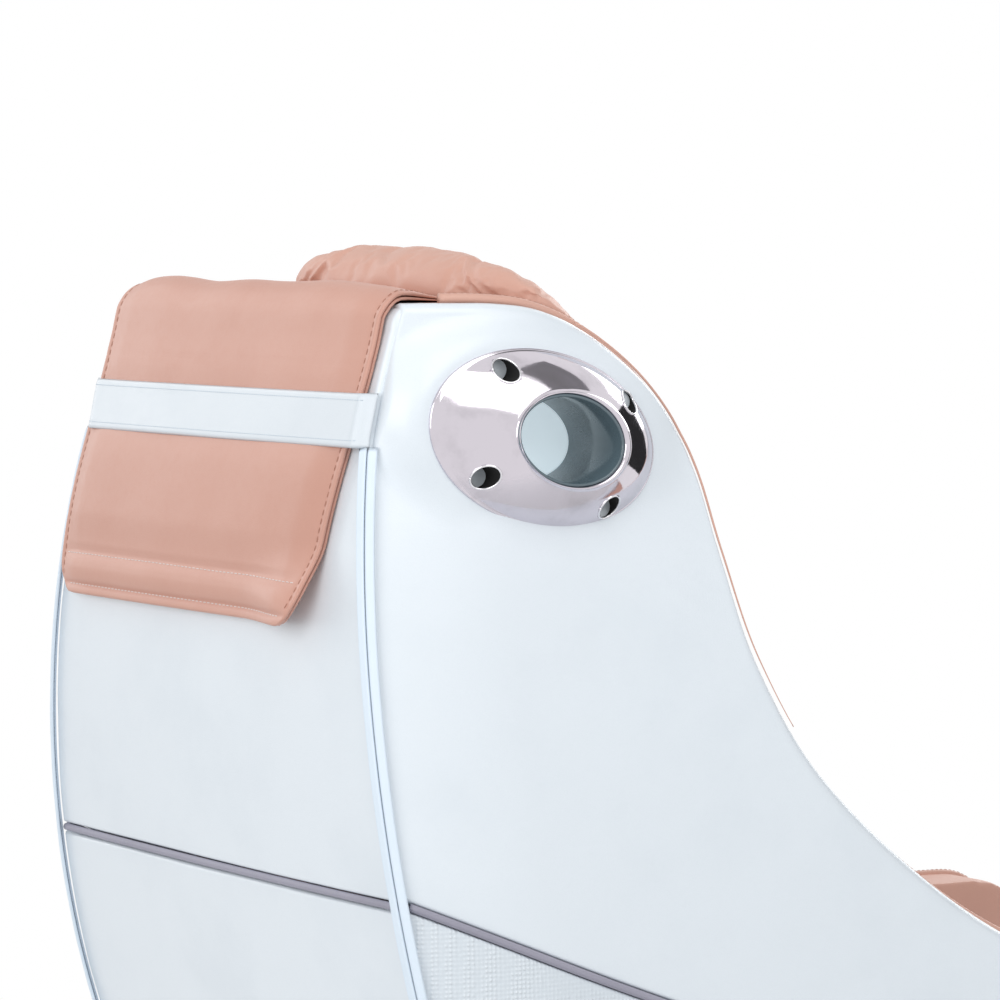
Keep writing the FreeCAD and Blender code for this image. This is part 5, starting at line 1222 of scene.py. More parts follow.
    def surface(self, depth: Callable[[Points, Points], Points], inset: float) -> Points:
        """Grid of one face of a ply.

        Args:
            depth: height over the run, from X and height.
            inset: how far the ply's border is drawn in.

        Returns:
            Grid, rows from the front of the top to the lower hem.
        """
        line, normal = self._run()
        across = edge_spread(0.52, 0.0055, 0.010, 0.0013) * 2 - 1
        rows = []
        ridge_y = float(line[25, 0])
        for (y, z), (ny, nz) in zip(line, normal):
            low = np.clip((z - self.low_z - inset) / self.corner, 0.0, 1.0)
            half = self.half - inset - self.corner * (1 - math.sqrt(1 - (1 - low) ** 2))
            half -= self.narrow * float(smooth_step(-y, -ridge_y - 0.02, -ridge_y + 0.05))
            x = across * half
            free = float(smooth_step(y, ridge_y - 0.075, ridge_y + 0.005))
            flat = self.pressed + (1 - self.pressed) * free
            lean = x + float(self._shift(z))
            share = np.clip(lean / SHELL.seam_half(z), -1, 1)
            crown = SHELL.rear_crown * share ** 2 * max(ny, 0.0)
            off = depth(x, np.full_like(x, z)) * flat - crown
            loose = self.loose * smooth_step(-x, 0.13, self.half) * smooth_step(-z, -1.125, -1.050)
            swell = self._ridge(x) * max(nz, 0.0) ** 2 * free
            rows.append(np.stack([lean, y + ny * off + loose, z + nz * off + swell], 1))
        return np.array(rows)

    def _height(self, x: Points, z: Points) -> Points:
        """Fullness of the upper ply: pressed by the strap, drawn in at its cross seams."""
        middle = sum(self.strap_z) / 2
        press = np.exp(-((z - middle) / 0.030) ** 4) * self.strap_press
        seams = sum(np.exp(-((z - seam) / 0.0030) ** 2)
                    for seam in self.cross_seams) * self.seam_press
        high, low = self.cross_seams
        roll = np.sin(np.clip((z - low) / (high - low), 0, 1) * math.pi) * self.roll
        inward = self.half - np.abs(x)
        edge = np.exp(-((inward - self.stitch_in) / 0.0022) ** 2) * self.edge_press
        full = smooth_step(inward, 0.006, 0.045)
        belly = smooth_step(z, 1.095, 1.13) * smooth_step(-z, -1.225, -1.18) * self.belly
        return (self.over_ply[1] - self.thin * (1.0 - full) - edge
                + (belly - press - seams + roll) * full ** 0.5)

    def _ridge(self, x: Points) -> Points:
        """Rise of the top, which lies over the pillow's stuffing in soft humps."""
        return sum(rise * np.exp(-((x - middle) / width) ** 2)
                   for rise, middle, width in self.humps)

    def _seen_face(self) -> tuple[Points, Points]:
        """Seen face of the upper ply with its slack, and its normals."""
        top = self.surface(self._height, 0.0)
        slack = (ripples(top, 0.09, 40.0, (1.0, 1.0, 1.6)) * 0.0014
                 + ripples(top, 0.03, 47.0, (1.6, 1.0, 0.8)) * 0.0002)
        normal = grid_normals(top, (0, 1, 0))
        return top + normal * slack[:, :, None], normal

    def plies(self) -> tuple[Piece, Piece]:
        """The upper and the lower ply."""
        top, normal = self._seen_face()
        low = self._keep_apart(top, self._level(self.over_ply[0], 0.0), normal)
        under = [self._level(height, 0.0016) for height in reversed(self.under_ply)]
        return self._ply("flap_upper_ply", top, low), self._ply("flap_under_ply", *under)

    def _level(self, height: float, inset: float) -> Points:
        """Face of a ply at one height over the run."""
        return self.surface(lambda x, z: np.full_like(x, height), inset)

    @staticmethod
    def _keep_apart(top: Points, low: Points, normal: Points) -> Points:
        """Keep the lower face at least 2 mm under the upper one."""
        gap = np.sum((top - low) * normal, axis=2, keepdims=True)
        return low - normal * np.clip(0.002 - gap, 0.0, None)

    @staticmethod
    def _ply(name: str, top: Points, low: Points) -> Piece:
        """Close a ply, with its borders rounded over."""
        shape = np.ones(top.shape[:2])
        for distance in edge_distance(top):
            shape = np.minimum(shape, rounded(distance, 0.0022))
        middle = (top + low) / 2
        half = (top - low) / 2
        return Form.slab(name, middle + half * shape[:, :, None], middle - half * shape[:, :, None])

    def seams(self) -> list[Piece]:
        """Stitch rows of the flap: one along each edge and two across."""
        top, normal = self._seen_face()
        left = edge_distance(top)[2]
        pieces = []
        for name, reverse in (("flap_stitch_right", False), ("flap_stitch_left", True)):
            path = []
            ways = []
            for i in range(len(top) - 12):
                reach = left[i] if not reverse else left[i, -1] - left[i]
                order = np.argsort(reach)
                for rows, source in ((path, top), (ways, normal)):
                    rows.append(sampled(source[i, order], reach[order], [self.stitch_in])[0])
            pieces.append(Form.stitches(name, np.array(path), np.array(ways), *self.stitch))
        for number, seam in enumerate(self.cross_seams):
            row = int(np.argmin(np.abs(top[60:, top.shape[1] // 2, 2] - seam))) + 60
            pieces.append(Form.stitches(f"flap_cross_stitch_{number + 1}", top[row, 9:-9],
                                        normal[row, 9:-9], *self.cross_stitch))
        return pieces

    def strap(self) -> tuple[Piece, list[Piece]]:
        """White band over the flap, and the stitching along its edges."""
        z = np.linspace(*self.strap_z, 24)
        share = edge_spread(0.57, 0.006, 0.016, 0.0018) * 2 - 1
        rows = []
        for level in z:
            half = float(SHELL.seam_half(level)) + 0.0035
            x = share * half
            over = smooth_step(-np.abs(x), -half, -half + np.where(x < 0, 0.014, 0.030))
            off = 0.0022 + 0.0118 * over
            rows.append(SHELL.rear(x, level, off))
        grid = np.array(rows)
        wave = ripples(grid, 0.06, 70.0, (1.5, 1.0, 1.0)) * 0.0009
        strap = Form.padded_slab("flap_strap_band", grid, self.strap_thick,
                                 (0.0022, 0.0022, 0.003, 0.003), wave, (0, 1, 0))
        normal = grid_normals(grid, (0, 1, 0))
        face = grid + normal * (self.strap_thick / 2 + wave)[:, :, None]
        sewn = [Form.stitches(f"strap_stitch_{number + 1}", face[row, 5:-5], normal[row, 5:-5],
                              *self.strap_stitch) for number, row in enumerate((3, -4))]
        return strap, sewn

    def build(self, pink: Material, white: Material, thread: Material,
              pale_thread: Material, white_thread: Material) -> None:
        """Make the flap, its strap and all their stitches."""
        upper, under = self.plies()
        place(upper, "shell", pink, "pink_leather", "back_flap")
        place(under, "shell", pink, "pink_leather", "back_flap")
        sewn = self.seams()
        for piece in sewn:
            pale = "cross" in piece.name
            place(piece, "shell", pale_thread if pale else thread, "pink_leather")
        strap, rows = self.strap()
        place(strap, "shell", white, "white_leather", "flap_strap")
        for piece in rows:
            place(piece, "shell", white_thread, "white_leather")


@dataclass
class Cushion:
    """Stuffed piece that starts from its plain solid and is blown up as cloth.

    Attributes:
        node: CAD node that it stands for.
        name: name of the new piece.
        cell: edge length of the cloth.
        draw_in: how far the cloth starts inside the solid.
        rise: most that any point may move outward.
        fill: how full the piece is; not used.
        seams: sewn channels near both ends, each as a half width, a slope and a height.
        lean: how far the top stands rearward, and the heights between which that grows.
        droop: how much lower the right end lies.
        body: CAD body that it rides on.
        inflate: whether the cloth run is made.
        seed: shift of its creases.
        slack: height of its creases.
        channel: half width of a sewn channel.
        channel_depth: how much deeper the cloth starts in it.
        sewn_from: depth of channel from which the cloth is held.
    """

    node: str
    name: str
    cell: float = 0.006
    draw_in: float = 0.003
    rise: float = 0.012
    fill: float = 0.7
    seams: tuple[Triple, ...] = ()
    lean: Triple = (0.0, 0.0, 1.0)
    droop: float = 0.0
    body: str = "shell"
    inflate: bool = True
    seed: float = 0.0
    slack: float = 0.0012
    channel: float = 0.0045
    channel_depth: float = 0.002
    sewn_from: float = 0.55

    def _fine_copy(self) -> Piece:
        """Copy of the solid as even quads."""
        raw = linked(self.name + "_raw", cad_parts[self.node].data.copy())
        remesh = raw.modifiers.new("even", "REMESH")
        remesh.mode = "VOXEL"
        remesh.voxel_size = self.cell
        piece = Form.applied(raw, self.name)
        bpy.data.objects.remove(raw)
        return piece

    @staticmethod
    def _points(piece: Piece, value: str = "co") -> Points:
        """Vertex places of an object, or another value of its vertices, such as "normal"."""
        rows = np.empty(len(piece.data.vertices) * 3)
        piece.data.vertices.foreach_get(value, rows)
        return rows.reshape(-1, 3)

    @staticmethod
    def _move(piece: Piece, spots: Points) -> None:
        """Set the vertex places of an object."""
        piece.data.vertices.foreach_set("co", spots.ravel())
        piece.data.update()

    def _relax(self, piece: Piece, rounds: int) -> None:
        """Even out the steps of the remesh."""
        spots = self._points(piece)
        ends = np.empty(len(piece.data.edges) * 2, dtype=np.int64)
        piece.data.edges.foreach_get("vertices", ends)
        first, second = ends.reshape(-1, 2).T
        count = np.bincount(ends, minlength=len(spots))[:, None]
        for _ in range(rounds):
            total = np.zeros_like(spots)
            np.add.at(total, first, spots[second])
            np.add.at(total, second, spots[first])
            spots = spots * 0.5 + total / count * 0.5
        self._move(piece, spots)

    def _seam_depth(self, spots: Points) -> Points:
        """1 on the sewn channels and 0 away from them."""
        depth = np.zeros(len(spots))
        for half, slope, height in self.seams:
            line = half + slope * (height - spots[:, 2]) + 0.002 * np.sin(spots[:, 2] * 60.0)
            away = (np.abs(spots[:, 0]) - line) / math.hypot(1.0, slope)
            depth = np.maximum(depth, np.exp(-(away / self.channel) ** 2))
        return depth

    def _settle(self, piece: Piece) -> None:
        """Lean the top rearward and let the right end droop."""
        spots = self._points(piece)
        shift, low, high = self.lean
        share = smooth_step(spots[:, 2], low, high)
        spots[:, 1] += shift * share
        spots[:, 2] -= self.droop * share * smooth_step(-spots[:, 0], 0.0, 0.14)
        self._move(piece, spots)

    def _blow_up(self, piece: Piece) -> Piece:
        """Run the cloth and cap how far it moved."""
        start = self._points(piece)
        group = piece.vertex_groups.new(name="sewn")
        depth = self._seam_depth(start)
        for index in np.nonzero(depth > self.sewn_from)[0]:
            group.add([int(index)], 1.0, "REPLACE")
        cloth = piece.modifiers.new("cloth", "CLOTH")
        cloth.settings.quality = 5
        cloth.settings.mass = 0.2
        cloth.settings.tension_stiffness = 12.0
        cloth.settings.compression_stiffness = 8.0
        cloth.settings.shear_stiffness = 5.0
        cloth.settings.bending_stiffness = 0.4
        cloth.settings.use_pressure = True
        cloth.settings.uniform_pressure_force = 4.0
        cloth.settings.shrink_min = -0.035
        cloth.settings.vertex_group_mass = "sewn"
        cloth.settings.effector_weights.gravity = 0.0
        cloth.collision_settings.use_collision = False
        cloth.point_cache.frame_start = 1
        cloth.point_cache.frame_end = CLOTH_FRAMES
        for step in range(1, CLOTH_FRAMES + 1):
            bpy.context.scene.frame_set(step)
        blown = Form.applied(piece, self.name + "_blown")
        end = self._points(blown)
        bpy.context.scene.frame_set(1)
        move = end - start
        reach = np.linalg.norm(move, axis=1, keepdims=True)
        move *= np.tanh(reach / self.rise) * self.rise / np.maximum(reach, TINY)
        self._move(blown, start + move)
        bpy.data.objects.remove(piece)
        blown.name = self.name
        return blown

    def form(self) -> Piece:
        """Make the piece."""
        piece = self._fine_copy()
        self._relax(piece, 3)
        self._settle(piece)
        spots = self._points(piece)
        ways = self._points(piece, "normal")
        inward = self.draw_in + self._seam_depth(spots) * self.channel_depth
        self._move(piece, spots - ways * inward[:, None])
        if self.inflate:
            piece = self._blow_up(piece)
        spots = self._points(piece)
        ways = self._points(piece, "normal")
        soft = ripples(spots[None], 0.05, self.seed + 20.0)[0] * self.slack
        self._move(piece, spots + ways * soft[:, None])
        piece.modifiers.new("smooth", "SUBSURF").levels = 1
        done = Form.applied(piece, self.name + "_done")
        bpy.data.objects.remove(piece)
        done.name = self.name
        for face in done.data.polygons:
            face.use_smooth = True
        return done

    def build(self, finish: Material) -> Piece:
        """Make the piece and put it in place of its solid."""
        piece = place(self.form(), self.body, finish, "pink_leather", self.node)
        return piece


@dataclass
class Rim:
    """Rolled and stitched edge of each pink lining, above the white cover."""

    radius: float = 0.0052
    proud: float = 0.0052
    cord: float = 0.0012
    cord_in: float = 0.0026
    cord_y: Pair = (0.250, 0.470)
    cord_full_y: float = 0.350
    roll_y: Pair = (-0.541, 0.600)

    def edge_cord(self) -> Piece:
        """Thin cord in the seam between the wing's white cover and its edge."""
        line = SHELL.top_edge(self.cord * 0.8, 260)
        line = line[(line[:, 0] < self.cord_y[1]) & (line[:, 0] > self.cord_y[0])]
        y, z = line.T
        path = np.stack([SHELL.side_x(y, z) - self.cord_in, y, z], 1)
        radius = self.cord * (0.35 + 0.65 * smooth_step(y, self.cord_y[0], self.cord_full_y))
        return Form.tube("edge_cord_left", path, radius, 10)

    def build(self, pink: Material, thread: Material) -> None:
        """Make the roll, its stitches and the cord on both sides."""
        line = SHELL.top_edge(self.proud - 0.0015, 260)
        line = line[(line[:, 0] < self.roll_y[1]) & (line[:, 0] > self.roll_y[0])]
        y, z = line.T
        outer = SHELL.side_x(y, z) - SHELL.thick(z)
        path = np.stack([outer - self.radius - 0.0008, y, z], 1)
        roll = Form.tube("lining_roll_left", path, self.radius, 14)
        up = np.hstack([np.zeros((len(y), 1)), side_normals(line)])
        sewn = Form.stitches("lining_stitch_left", path + up * self.radius, up, 0.0065, 0.0006)
        for piece, finish in ((roll, pink), (sewn, thread), (self.edge_cord(), pink)):
            place_pair(piece, finish, "pink_leather")


@dataclass
class Port:
    """Oval trumpet on each side of the headrest: plated bezel, grey tube and pale cap."""

    centre: Pair = (0.507, 1.218)
    tilt: float = math.radians(13.0)
    foot: Pair = (0.1248, 0.0818)
    rim: Pair = (0.0617, 0.045)
    bore: Pair = (0.059, 0.0423)
    rim_shift: float = -0.005
    foot_shift: float = 0.006
    foot_x: float = 0.3023
    ring: float = 0.015
    height: float = 0.055
    rim_fall: float = 0.003
    round: float = 0.002
    bow: float = 0.004
    hole: float = 0.011
    hole_wide: float = 1.12
    hole_floor: float = 0.004
    lip: float = 0.0014
    plug: Pair = (0.20, 0.36)
    tube_outer: Pair = (0.0587, 0.042)
    tube_inner: Pair = (0.0557, 0.039)
    tube_start: float = 0.2645
    cap_half: Pair = (0.0582, 0.0415)
    cap_x: float = 0.264
    cap_back: float = 0.2612
    hole_spots: Pair = (0.070, 0.050)
    sides: int = 160

    def _oval(self, x: float, half: Pair, shift: float = 0.0) -> Points:
        """Ring of points round the port's axis."""
        turn = np.linspace(0.0, 2 * math.pi, self.sides, endpoint=False)
        y, z = self._tilted(half[0] * np.cos(turn), half[1] * np.sin(turn))
        return np.stack([np.full(self.sides, x), y + shift, z], 1)

    def _slide(self, share: float) -> float:
        """How far an oval of the flank stands rearward, from the foot (0) to the rim (1)."""
        return self.foot_shift + (self.rim_shift - self.foot_shift) * share

    def _tilted(self, along: Points, up: Points) -> tuple[Points, Points]:
        """Y and Z of places measured along the oval's own axes."""
        cos, sin = math.cos(self.tilt), math.sin(self.tilt)
        return self.centre[0] + along * cos - up * sin, self.centre[1] + along * sin + up * cos

    def _reach(self, y: Points, z: Points, shift: float, half: Pair) -> Points:
        """Distance of a place from the port's axis, which is 1 on the oval of that size."""
        cos, sin = math.cos(self.tilt), math.sin(self.tilt)
        off_y, off_z = y - self.centre[0] - shift, z - self.centre[1]
        return np.hypot((off_y * cos + off_z * sin) / half[0],
                        (off_z * cos - off_y * sin) / half[1])

    def _flank_half(self, share: float) -> Pair:
        """Size of the flank's oval, from the foot (0) to the rim (1)."""
        bow = self.bow * math.sin(share * math.pi)
        wide, tall = (edge - self.round + (rim - edge + self.round) * share + bow
                      for edge, rim in zip(self.foot, self.rim))
        return wide, tall

    def bezel(self) -> Piece:
        """Swept cone with a rolled rim and a bore along its axis, before its four holes are
        drilled.
        """
        base = self.foot_x + self.ring
        top = self.foot_x + self.height - self.rim_fall
        rings = [self._oval(x, self.foot, self.foot_shift)
                 for x in (self.foot_x, base - self.round)]
        for turn in np.linspace(0.2, 1.0, 5) * math.pi / 2:
            inset = self.round * (1 - math.cos(turn))
            rings.append(self._oval(base - self.round + self.round * math.sin(turn),
                                    (self.foot[0] - inset, self.foot[1] - inset),
                                    self.foot_shift))
        for share in np.linspace(0.06, 1.0, 18):
            rings.append(self._oval(base + (top - base) * share, self._flank_half(share),
                                    self._slide(share)))
        for turn in np.linspace(0.1, 1.0, 8) * math.pi:
            out = self.lip * math.cos(turn)
            rings.append(self._oval(top + 2 * self.lip * math.sin(turn),
                                    (self.rim[0] - self.lip + out, self.rim[1] - self.lip + out),
                                    self.rim_shift * (1 - turn / math.pi)))
        rings.append(self._oval(top - 0.004, self.bore))
        rings.append(self._oval(self.foot_x, self.bore))
        return Form.body("port_bezel_left", rings, wrap=True)

    def _drill(self, body: Piece) -> Piece:
        """Cut the four holes through the flank."""
        bits = []
        for along in (-1, 1):
            for up in (-1, 1):
                y, z = self._tilted(along * self.hole_spots[0], up * self.hole_spots[1])
                bits.append(self._disc(f"bit_{along}_{up}", y, z, self.foot_x + self.hole_floor,
                                       self.foot_x + 0.1))
        return Form.cut(body, bits)

    def opening(self, room: float) -> Piece:
        """Oval plug right through the wing, for cutting its cover with room round the bore."""
        half = (self.bore[0] + room, self.bore[1] + room)
        return Form.body("port_plug", [self._oval(x, half) for x in self.plug])

    def collar(self, y: Points, z: Points, outer: Points) -> Points:
        """Extra swell that brings the leather up to the bezel's foot."""
        reach = self._reach(y, z, self.foot_shift, self.foot)
        return smooth_step(-reach, -1.42, -1.02) * np.clip(self.foot_x + 0.0125 - outer, 0.0, None)

    def _disc(self, name: str, y: float, z: float, start: float, end: float,
              count: int = 40) -> Piece:
        """Straight plug along X of a hole's size."""
        turn = np.linspace(0.0, 2 * math.pi, count, endpoint=False)
        ring = np.stack([np.zeros(count), y + self.hole * self.hole_wide * np.cos(turn),
                         z + self.hole * np.sin(turn)], 1)
        return Form.body(name, [ring + [x, 0, 0] for x in (start, end)])

    def _flank_x(self, y: float, z: float) -> float:
        """How far out the flank lies at a place, by halving."""
        low, high = 0.0, 1.0
        for _ in range(24):
            share = (low + high) / 2
            reach = self._reach(y, z, self._slide(share), self._flank_half(share))
            low, high = (share, high) if reach < 1.0 else (low, share)
        base = self.foot_x + self.ring
        return base + (self.foot_x + self.height - self.rim_fall - base) * low

    def hole_trim(self, along: int, up: int) -> tuple[Piece, Piece]:
        """Bright lip round a hole, and a dark socket at its bottom: painted shade of a deep hole.
        """
        y, z = self._tilted(along * self.hole_spots[0], up * self.hole_spots[1])
        turn = np.linspace(0.0, 2 * math.pi, 48)

        def around(radius: float) -> list[Pair]:
            """Places of an oval round the hole's axis."""
            return [(y + radius * self.hole_wide * math.cos(a), z + radius * math.sin(a))
                    for a in turn]

        ring = [(self._flank_x(*spot) + 0.0002, *spot) for spot in around(self.hole)]
        name = f"hole_lip_{'rear' if along > 0 else 'front'}_{'upper' if up > 0 else 'lower'}_left"
        lip = Form.tube(name, np.array(ring), 0.0011, 8)
        wide = self.hole - 0.0002
        narrow = wide - 0.0008
        rings = []
        for radius, floor, rise in ((wide, self.hole_floor + 0.0002, 0.0), (wide, 0.0, 1.0),
                                    (narrow, 0.0, 1.0), (narrow, self.hole_floor + 0.002, 0.0)):
            low = (self.foot_x + floor) * (1 - rise)
            rings.append([((self._flank_x(*spot) - 0.0010) * rise + low, *spot)
                          for spot in around(radius)[:-1]])
        return lip, Form.body(name.replace("hole_lip", "hole_socket"), rings)

    def tube(self) -> Piece:
        """Grey tube through the wing."""
        end = self.foot_x + self.height - 0.001
        start, soft = self.tube_start, 0.0008
        edge_out = (self.tube_outer[0] - soft, self.tube_outer[1] - soft)
        edge_in = (self.tube_inner[0] + soft, self.tube_inner[1] + soft)
        rings = [self._oval(start, self.tube_outer), self._oval(end - 0.001, self.tube_outer),
                 self._oval(end, edge_out), self._oval(end, edge_in),
                 self._oval(end - 0.001, self.tube_inner), self._oval(start, self.tube_inner)]
        return Form.body("port_tube_left", rings, wrap=True)

    def cap(self) -> Piece:
        """Slightly domed pale disc at the tube's inner end."""
        rings = [self._oval(self.cap_back, (0.0, 0.0)), self._oval(self.cap_back, self.cap_half)]
        for share in np.linspace(0.0, 1.0, 10):
            half = (self.cap_half[0] * (1 - share), self.cap_half[1] * (1 - share))
            rings.append(self._oval(self.cap_x - 0.0012 * share ** 2, half))
        return Form.body("port_cap_left", rings, wrap=True)

    def build(self, plate: Material, grey: Material, pale: Material,
              bright: Material, dark: Material) -> None:
        """Make both ports."""
        parts = [(self._drill(self.bezel()), plate, "dark_chrome", ["port_bezels"]),
                 (self.tube(), grey, "port_grey", ["port_tubes"]),
                 (self.cap(), pale, "port_cap", ["port_caps"])]
        for along in (-1, 1):
            for up in (-1, 1):
                lip, socket = self.hole_trim(along, up)
                # The lips' paler metal is a painted glint; the sockets' black is painted shade.
                parts += [(lip, bright, "dark_chrome", []), (socket, dark, "dark_chrome", [])]
        for piece, finish, slot, nodes in parts:
            place_pair(piece, finish, slot, *nodes)


# Finishes of this chair


def written(red: float, green: float, blue: float) -> Colour:
    """Linear colour from the 0 to 255 values of a screen colour."""
    parts = (value / 255 for value in (red, green, blue))
    return tuple(part / 12.92 if part <= 0.04045 else ((part + 0.055) / 1.055) ** 2.4
                 for part in parts)


class Palette:
    """All the materials, made once."""

    def __init__(self) -> None:
        """Build each material."""
        white = written(233, 240, 246)
        pink = written(217, 171, 154)
        self.white = Leather(white, written(222, 230, 237), 0.34, coat=0.30).build("white_leather")
        self.beads = BeadedLeather(white, written(218, 226, 233)).build("beaded_leather")
        self.pink = Leather(pink, written(208, 159, 141), 0.50, crease_depth=0.0002, coat=0.08,
                            mottle=0.4, seed=2.0).build("rose_leather")
        self.flap = Leather(written(208, 158, 141), written(199, 146, 128), 0.50,
                            crease_depth=0.0002, coat=0.08, mottle=0.4,
                            seed=3.0).build("rose_flap_leather")
        self.strap = Leather(written(219, 226, 232), written(209, 217, 224), 0.40,
                             coat=0.15, seed=4.0).build("white_strap_leather")
        self.piping = Leather(written(163, 161, 175), written(140, 138, 152), 0.60,
                              coat=0.0).build("mauve_piping")
        self.thread, self.pale_thread, self.white_thread = (
            Tape(colour, shade, 5200.0).build(name) for name, colour, shade in (
                ("rose_thread", written(190, 140, 122), written(160, 112, 96)),
                ("pale_thread", written(240, 232, 228), written(214, 204, 200)),
                ("white_thread", written(212, 224, 234), written(198, 210, 222))))
        self.tape = Tape(written(231, 243, 254), written(222, 235, 248)).build("zip_tape")
        self.coil = Plastic(written(158, 168, 182), 0.6).build("zip_coil")
        self.plate = Metal(written(214, 208, 216), 0.06).build("dark_nickel")
        # Painted highlight: the hole lips are a paler copy of the plate metal, for the glint on
        # their rims.
        self.lip = Metal(written(228, 226, 230), 0.08).build("bright_lip")
        # Painted shade: the sockets are black to stand for the darkness deep in each hole.
        self.socket = Plastic(written(10, 10, 11), 0.90).build("socket_black")
        self.tube = Plastic(written(88, 105, 113), 0.22, coat=0.5).build("tube_grey")
        # Painted glow: the cap shines by emission, though it is no lamp, so that it stays pale
        # inside the dark tube.
        self.cap = Plastic(written(228, 243, 250), 0.34, coat=0.2,
                           painted_glow=0.56).build("pale_cap_painted_light")
        self.steel = Metal(written(214, 214, 216), 0.28, 0.12).build("machined_steel")
        self.powder = Plastic(written(44, 44, 47), 0.5, 0.0001).build("powder_coat")
        self.chrome = Metal(written(236, 237, 239), 0.06).build("polished_chrome")
        self.tub = Plastic(written(238, 238, 236), 0.18, coat=0.5).build("tub_acrylic")
        self.bowl = Plastic(written(243, 244, 246), 0.12, coat=0.7).build("bowl_acrylic")
        self.black = Plastic(written(30, 30, 32), 0.48, 0.00006).build("black_moulding")
        self.grey = Plastic(written(150, 152, 156), 0.42, 0.00005).build("grey_moulding")
        self.lens = Plastic(written(214, 226, 232), 0.24, coat=0.4).build("lamp_lens")
        self.rubber = Rubber(written(36, 36, 37)).build("foot_rubber")
        self.pipe = Plastic(written(214, 214, 210), 0.36).build("drain_plastic")


@dataclass
class Fittings:
    """CAD pieces whose shape is right as it is, each with its finish."""

    palette: Palette

    def finishes(self) -> dict[Material, tuple[str, ...]]:
        """Which nodes get which material."""
        use = self.palette
        return {
            use.tub: ("base_tub", "access_panel"),
            use.bowl: ("foot_bowl",),
            use.lens: ("bowl_lamp",),
            use.steel: ("actuator_rod", "guide_rails", "lead_screw", "panel_screws", "slide_rails",
                        "slide_screw", "water_inlets"),
            use.powder: ("actuator_body", "chair_frame", "footrest_yoke", "roller_arm_left",
                         "roller_arm_right", "seat_pan", "slider_frame"),
            use.black: ("carriage", "jet_impeller_left", "jet_impeller_right", "power_gland",
                        "rollers_left", "rollers_right", "slide_motor"),
            use.grey: ("control_panel", "jet_housings", "keypad_housing"),
            use.chrome: ("deck_sockets", "drain_stopper", "faucet_body", "footrest_post",
                         "jet_grilles", "keypad_button_down", "keypad_button_up", "mixer_lever",
                         "panel_button_jets", "panel_button_lamp", "spray_handle"),
            use.pipe: ("drain_pipe",),
            use.rubber: ("levelling_feet",),
        }

    def dress(self) -> None:
        """Assign the materials."""
        for material, names in self.finishes().items():
            for name in names:
                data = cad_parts[name].data
                if not data.materials:
                    data.materials.append(material)
                for index in range(len(data.materials)):
                    data.materials[index] = material


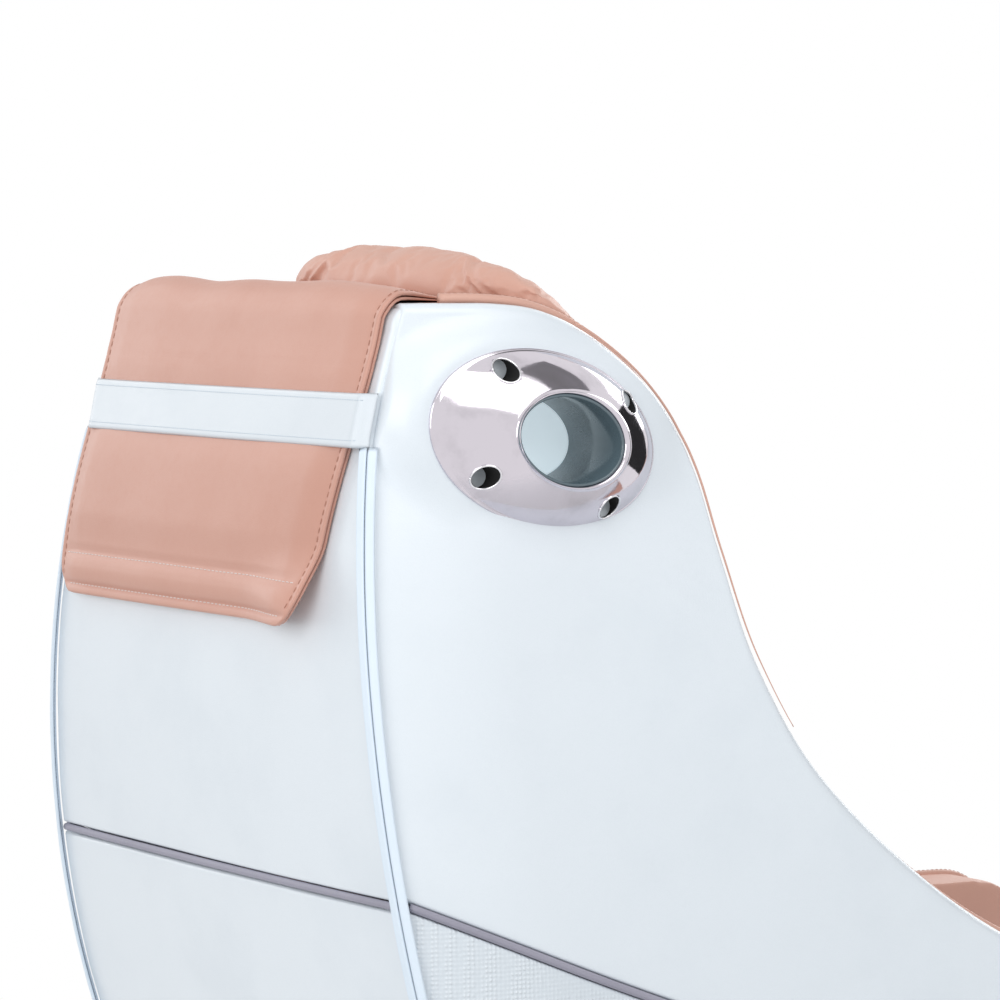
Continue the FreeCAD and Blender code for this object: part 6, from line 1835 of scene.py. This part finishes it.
@dataclass
class Studio:
    """Camera, soft lamps, pale floor and white surroundings."""

    eye: Triple = (-3.8252, 2.7531, 1.402)
    ahead: Triple = (0.8466, -0.5290, -0.0577)
    lens: float = 162.0
    target: Triple = (0.0, 0.15, 0.95)
    disc: float = 1.7

    def camera(self) -> None:
        """Long lens behind the sitter's right shoulder."""
        data = bpy.data.cameras.new("camera")
        data.lens = self.lens
        data.sensor_width = 36.0
        data.clip_end = 60.0
        eye = linked("camera", data)
        eye.location = self.eye
        eye.rotation_euler = Vector(self.ahead).to_track_quat("-Z", "Y").to_euler()
        bpy.context.scene.camera = eye

    def lamp(self, name: str, spot: Sequence[float], size: Pair,
             power: float) -> None:
        """Area lamp aimed at the chair."""
        data = bpy.data.lights.new(name, "AREA")
        data.shape = "RECTANGLE"
        data.size, data.size_y = size
        data.energy = power
        light = linked(name, data)
        light.location = spot
        facing = Vector(self.target) - Vector(spot)
        light.rotation_euler = facing.to_track_quat("-Z", "Y").to_euler()

    def world(self) -> None:
        """Even surroundings that show as white behind the chair."""
        world = bpy.data.worlds.new("studio")
        bpy.context.scene.world = world
        world.use_nodes = True
        nodes = world.node_tree.nodes
        links = world.node_tree.links
        nodes.clear()
        path = nodes.new("ShaderNodeLightPath")
        soft = nodes.new("ShaderNodeBackground")
        soft.inputs["Color"].default_value = (0.97, 0.985, 1.0, 1.0)
        soft.inputs["Strength"].default_value = 0.60
        plain = nodes.new("ShaderNodeBackground")
        plain.inputs["Color"].default_value = (1.0, 1.0, 1.0, 1.0)
        mix = nodes.new("ShaderNodeMixShader")
        end = nodes.new("ShaderNodeOutputWorld")
        seen = path.outputs["Is Camera Ray"]
        for ray in ("Is Glossy Ray", "Is Transmission Ray"):
            either = nodes.new("ShaderNodeMath")
            either.operation = "MAXIMUM"
            links.new(seen, either.inputs[0])
            links.new(path.outputs[ray], either.inputs[1])
            seen = either.outputs[0]
        links.new(seen, mix.inputs[0])
        links.new(soft.outputs[0], mix.inputs[1])
        links.new(plain.outputs[0], mix.inputs[2])
        links.new(mix.outputs[0], end.inputs[0])

    def floor(self) -> None:
        """Pale disc that keeps the chair's shadow and fades out at its border."""
        turn = np.linspace(0.0, 2 * math.pi, 96, endpoint=False)
        ring = np.stack([self.disc * np.cos(turn), self.disc * np.sin(turn), np.zeros(96)], 1)
        piece = Form.mesh("studio_floor", ring, [tuple(range(96))])
        tree = Tree("pale_floor")
        tone = tree.clouds(2.0, 3.0, 1.0)
        colour = tone.between(0.3, 0.8).tint((0.88, 0.88, 0.88), (0.86, 0.86, 0.86))
        reach = tree.node("ShaderNodeVectorMath", {"operation": "LENGTH"}, {0: tree.place()}, 1)
        fade = reach.between(self.disc * 0.55, self.disc * 0.98, 1.0, 0.0)
        piece.data.materials.append(tree.dress(Base_Color=colour, Roughness=tone * 0.2 + 0.6,
                                               Alpha=fade))

    def card(self, name: str, centre: Sequence[float], half: Pair,
             shade: float) -> None:
        """Dark or grey card beside the camera, which the plated parts mirror.

        Args:
            name: the card's name.
            centre: its middle; it faces the chair.
            half: half width and half height.
            shade: how pale it is.
        """
        facing = Vector(self.target) - Vector(centre)
        turn = facing.to_track_quat("-Z", "Y").to_matrix()
        corners = [Vector(centre) + turn @ Vector((a * half[0], b * half[1], 0.0))
                   for a, b in ((-1, -1), (1, -1), (1, 1), (-1, 1))]
        piece = Form.mesh(name, np.array([list(corner) for corner in corners]), [(0, 1, 2, 3)])
        tree = Tree(name + "_cloth")
        tone = tree.clouds(0.8, 2.0, 4.0)
        pale = (shade * 1.3, shade * 1.3, shade * 1.35)
        colour = tone.between(0.3, 0.8).tint((shade, shade, shade), pale)
        piece.data.materials.append(tree.dress(Base_Color=colour, Roughness=tone * 0.1 + 0.85))
        piece.visible_camera = False

    def build(self) -> None:
        """Set up the whole studio."""
        self.camera()
        self.card("studio_card_front", (0.2, -2.7, 1.3), (0.6, 1.1), 0.015)
        self.card("studio_card_high", (-0.85, -0.95, 3.3), (0.8, 0.55), 0.30)
        self.lamp("key", (-2.6, 0.6, 3.4), (2.4, 2.4), 38.0)
        self.lamp("side", (-1.6, 3.6, 1.8), (2.2, 2.0), 40.0)
        self.lamp("front", (1.8, -3.4, 2.6), (2.6, 2.0), 46.0)
        self.lamp("fill", (3.2, 1.6, 2.2), (2.2, 2.2), 24.0)
        self.world()
        self.floor()
        bpy.context.scene.view_settings.view_transform = "Standard"


def main() -> None:
    """Dress the chair and set up the studio."""
    logging.basicConfig(level=logging.INFO, format="%(name)s %(message)s")
    palette = Palette()
    Upholstery().build(palette.white, palette.beads)
    Welts().build(palette.piping, palette.tape, palette.coil)
    Flap().build(palette.flap, palette.strap, palette.thread, palette.pale_thread,
                 palette.white_thread)
    Rim().build(palette.pink, palette.thread)
    Port().build(palette.plate, palette.tube, palette.cap, palette.lip, palette.socket)
    cushions = (
        Cushion("head_pillow", "pillow", 0.005, 0.004, 0.014, 0.8, ((0.125, 1.5, 1.388),),
                lean=(0.040, 1.30, 1.39), droop=0.010, seed=1.0),
        Cushion("seat_cushion", "seat", 0.007, 0.004, 0.010, 0.8, seed=2.0),
        Cushion("back_pad", "backrest", 0.007, 0.004, 0.010, 0.8, seed=3.0),
        Cushion("footrest_pad", "footrest_cushion", 0.004, 0.002, 0.006, 0.8, body="footrest",
                seed=4.0),
        *(Cushion(node, name, 0.005, draw_in, 0.002, 0.9, inflate=False, seed=seed, slack=0.0006)
          for node, name, draw_in, seed in (("top_cap", "top_roll", 0.0005, 5.0),
                                            ("wing_lining_left", "lining_left", 0.0006, 6.0),
                                            ("wing_lining_right", "lining_right", 0.0006, 7.0))),
    )
    for cushion in cushions:
        cushion.build(palette.pink)
    Fittings(palette).dress()
    Studio().build()


if __name__ == "__main__":
    main()
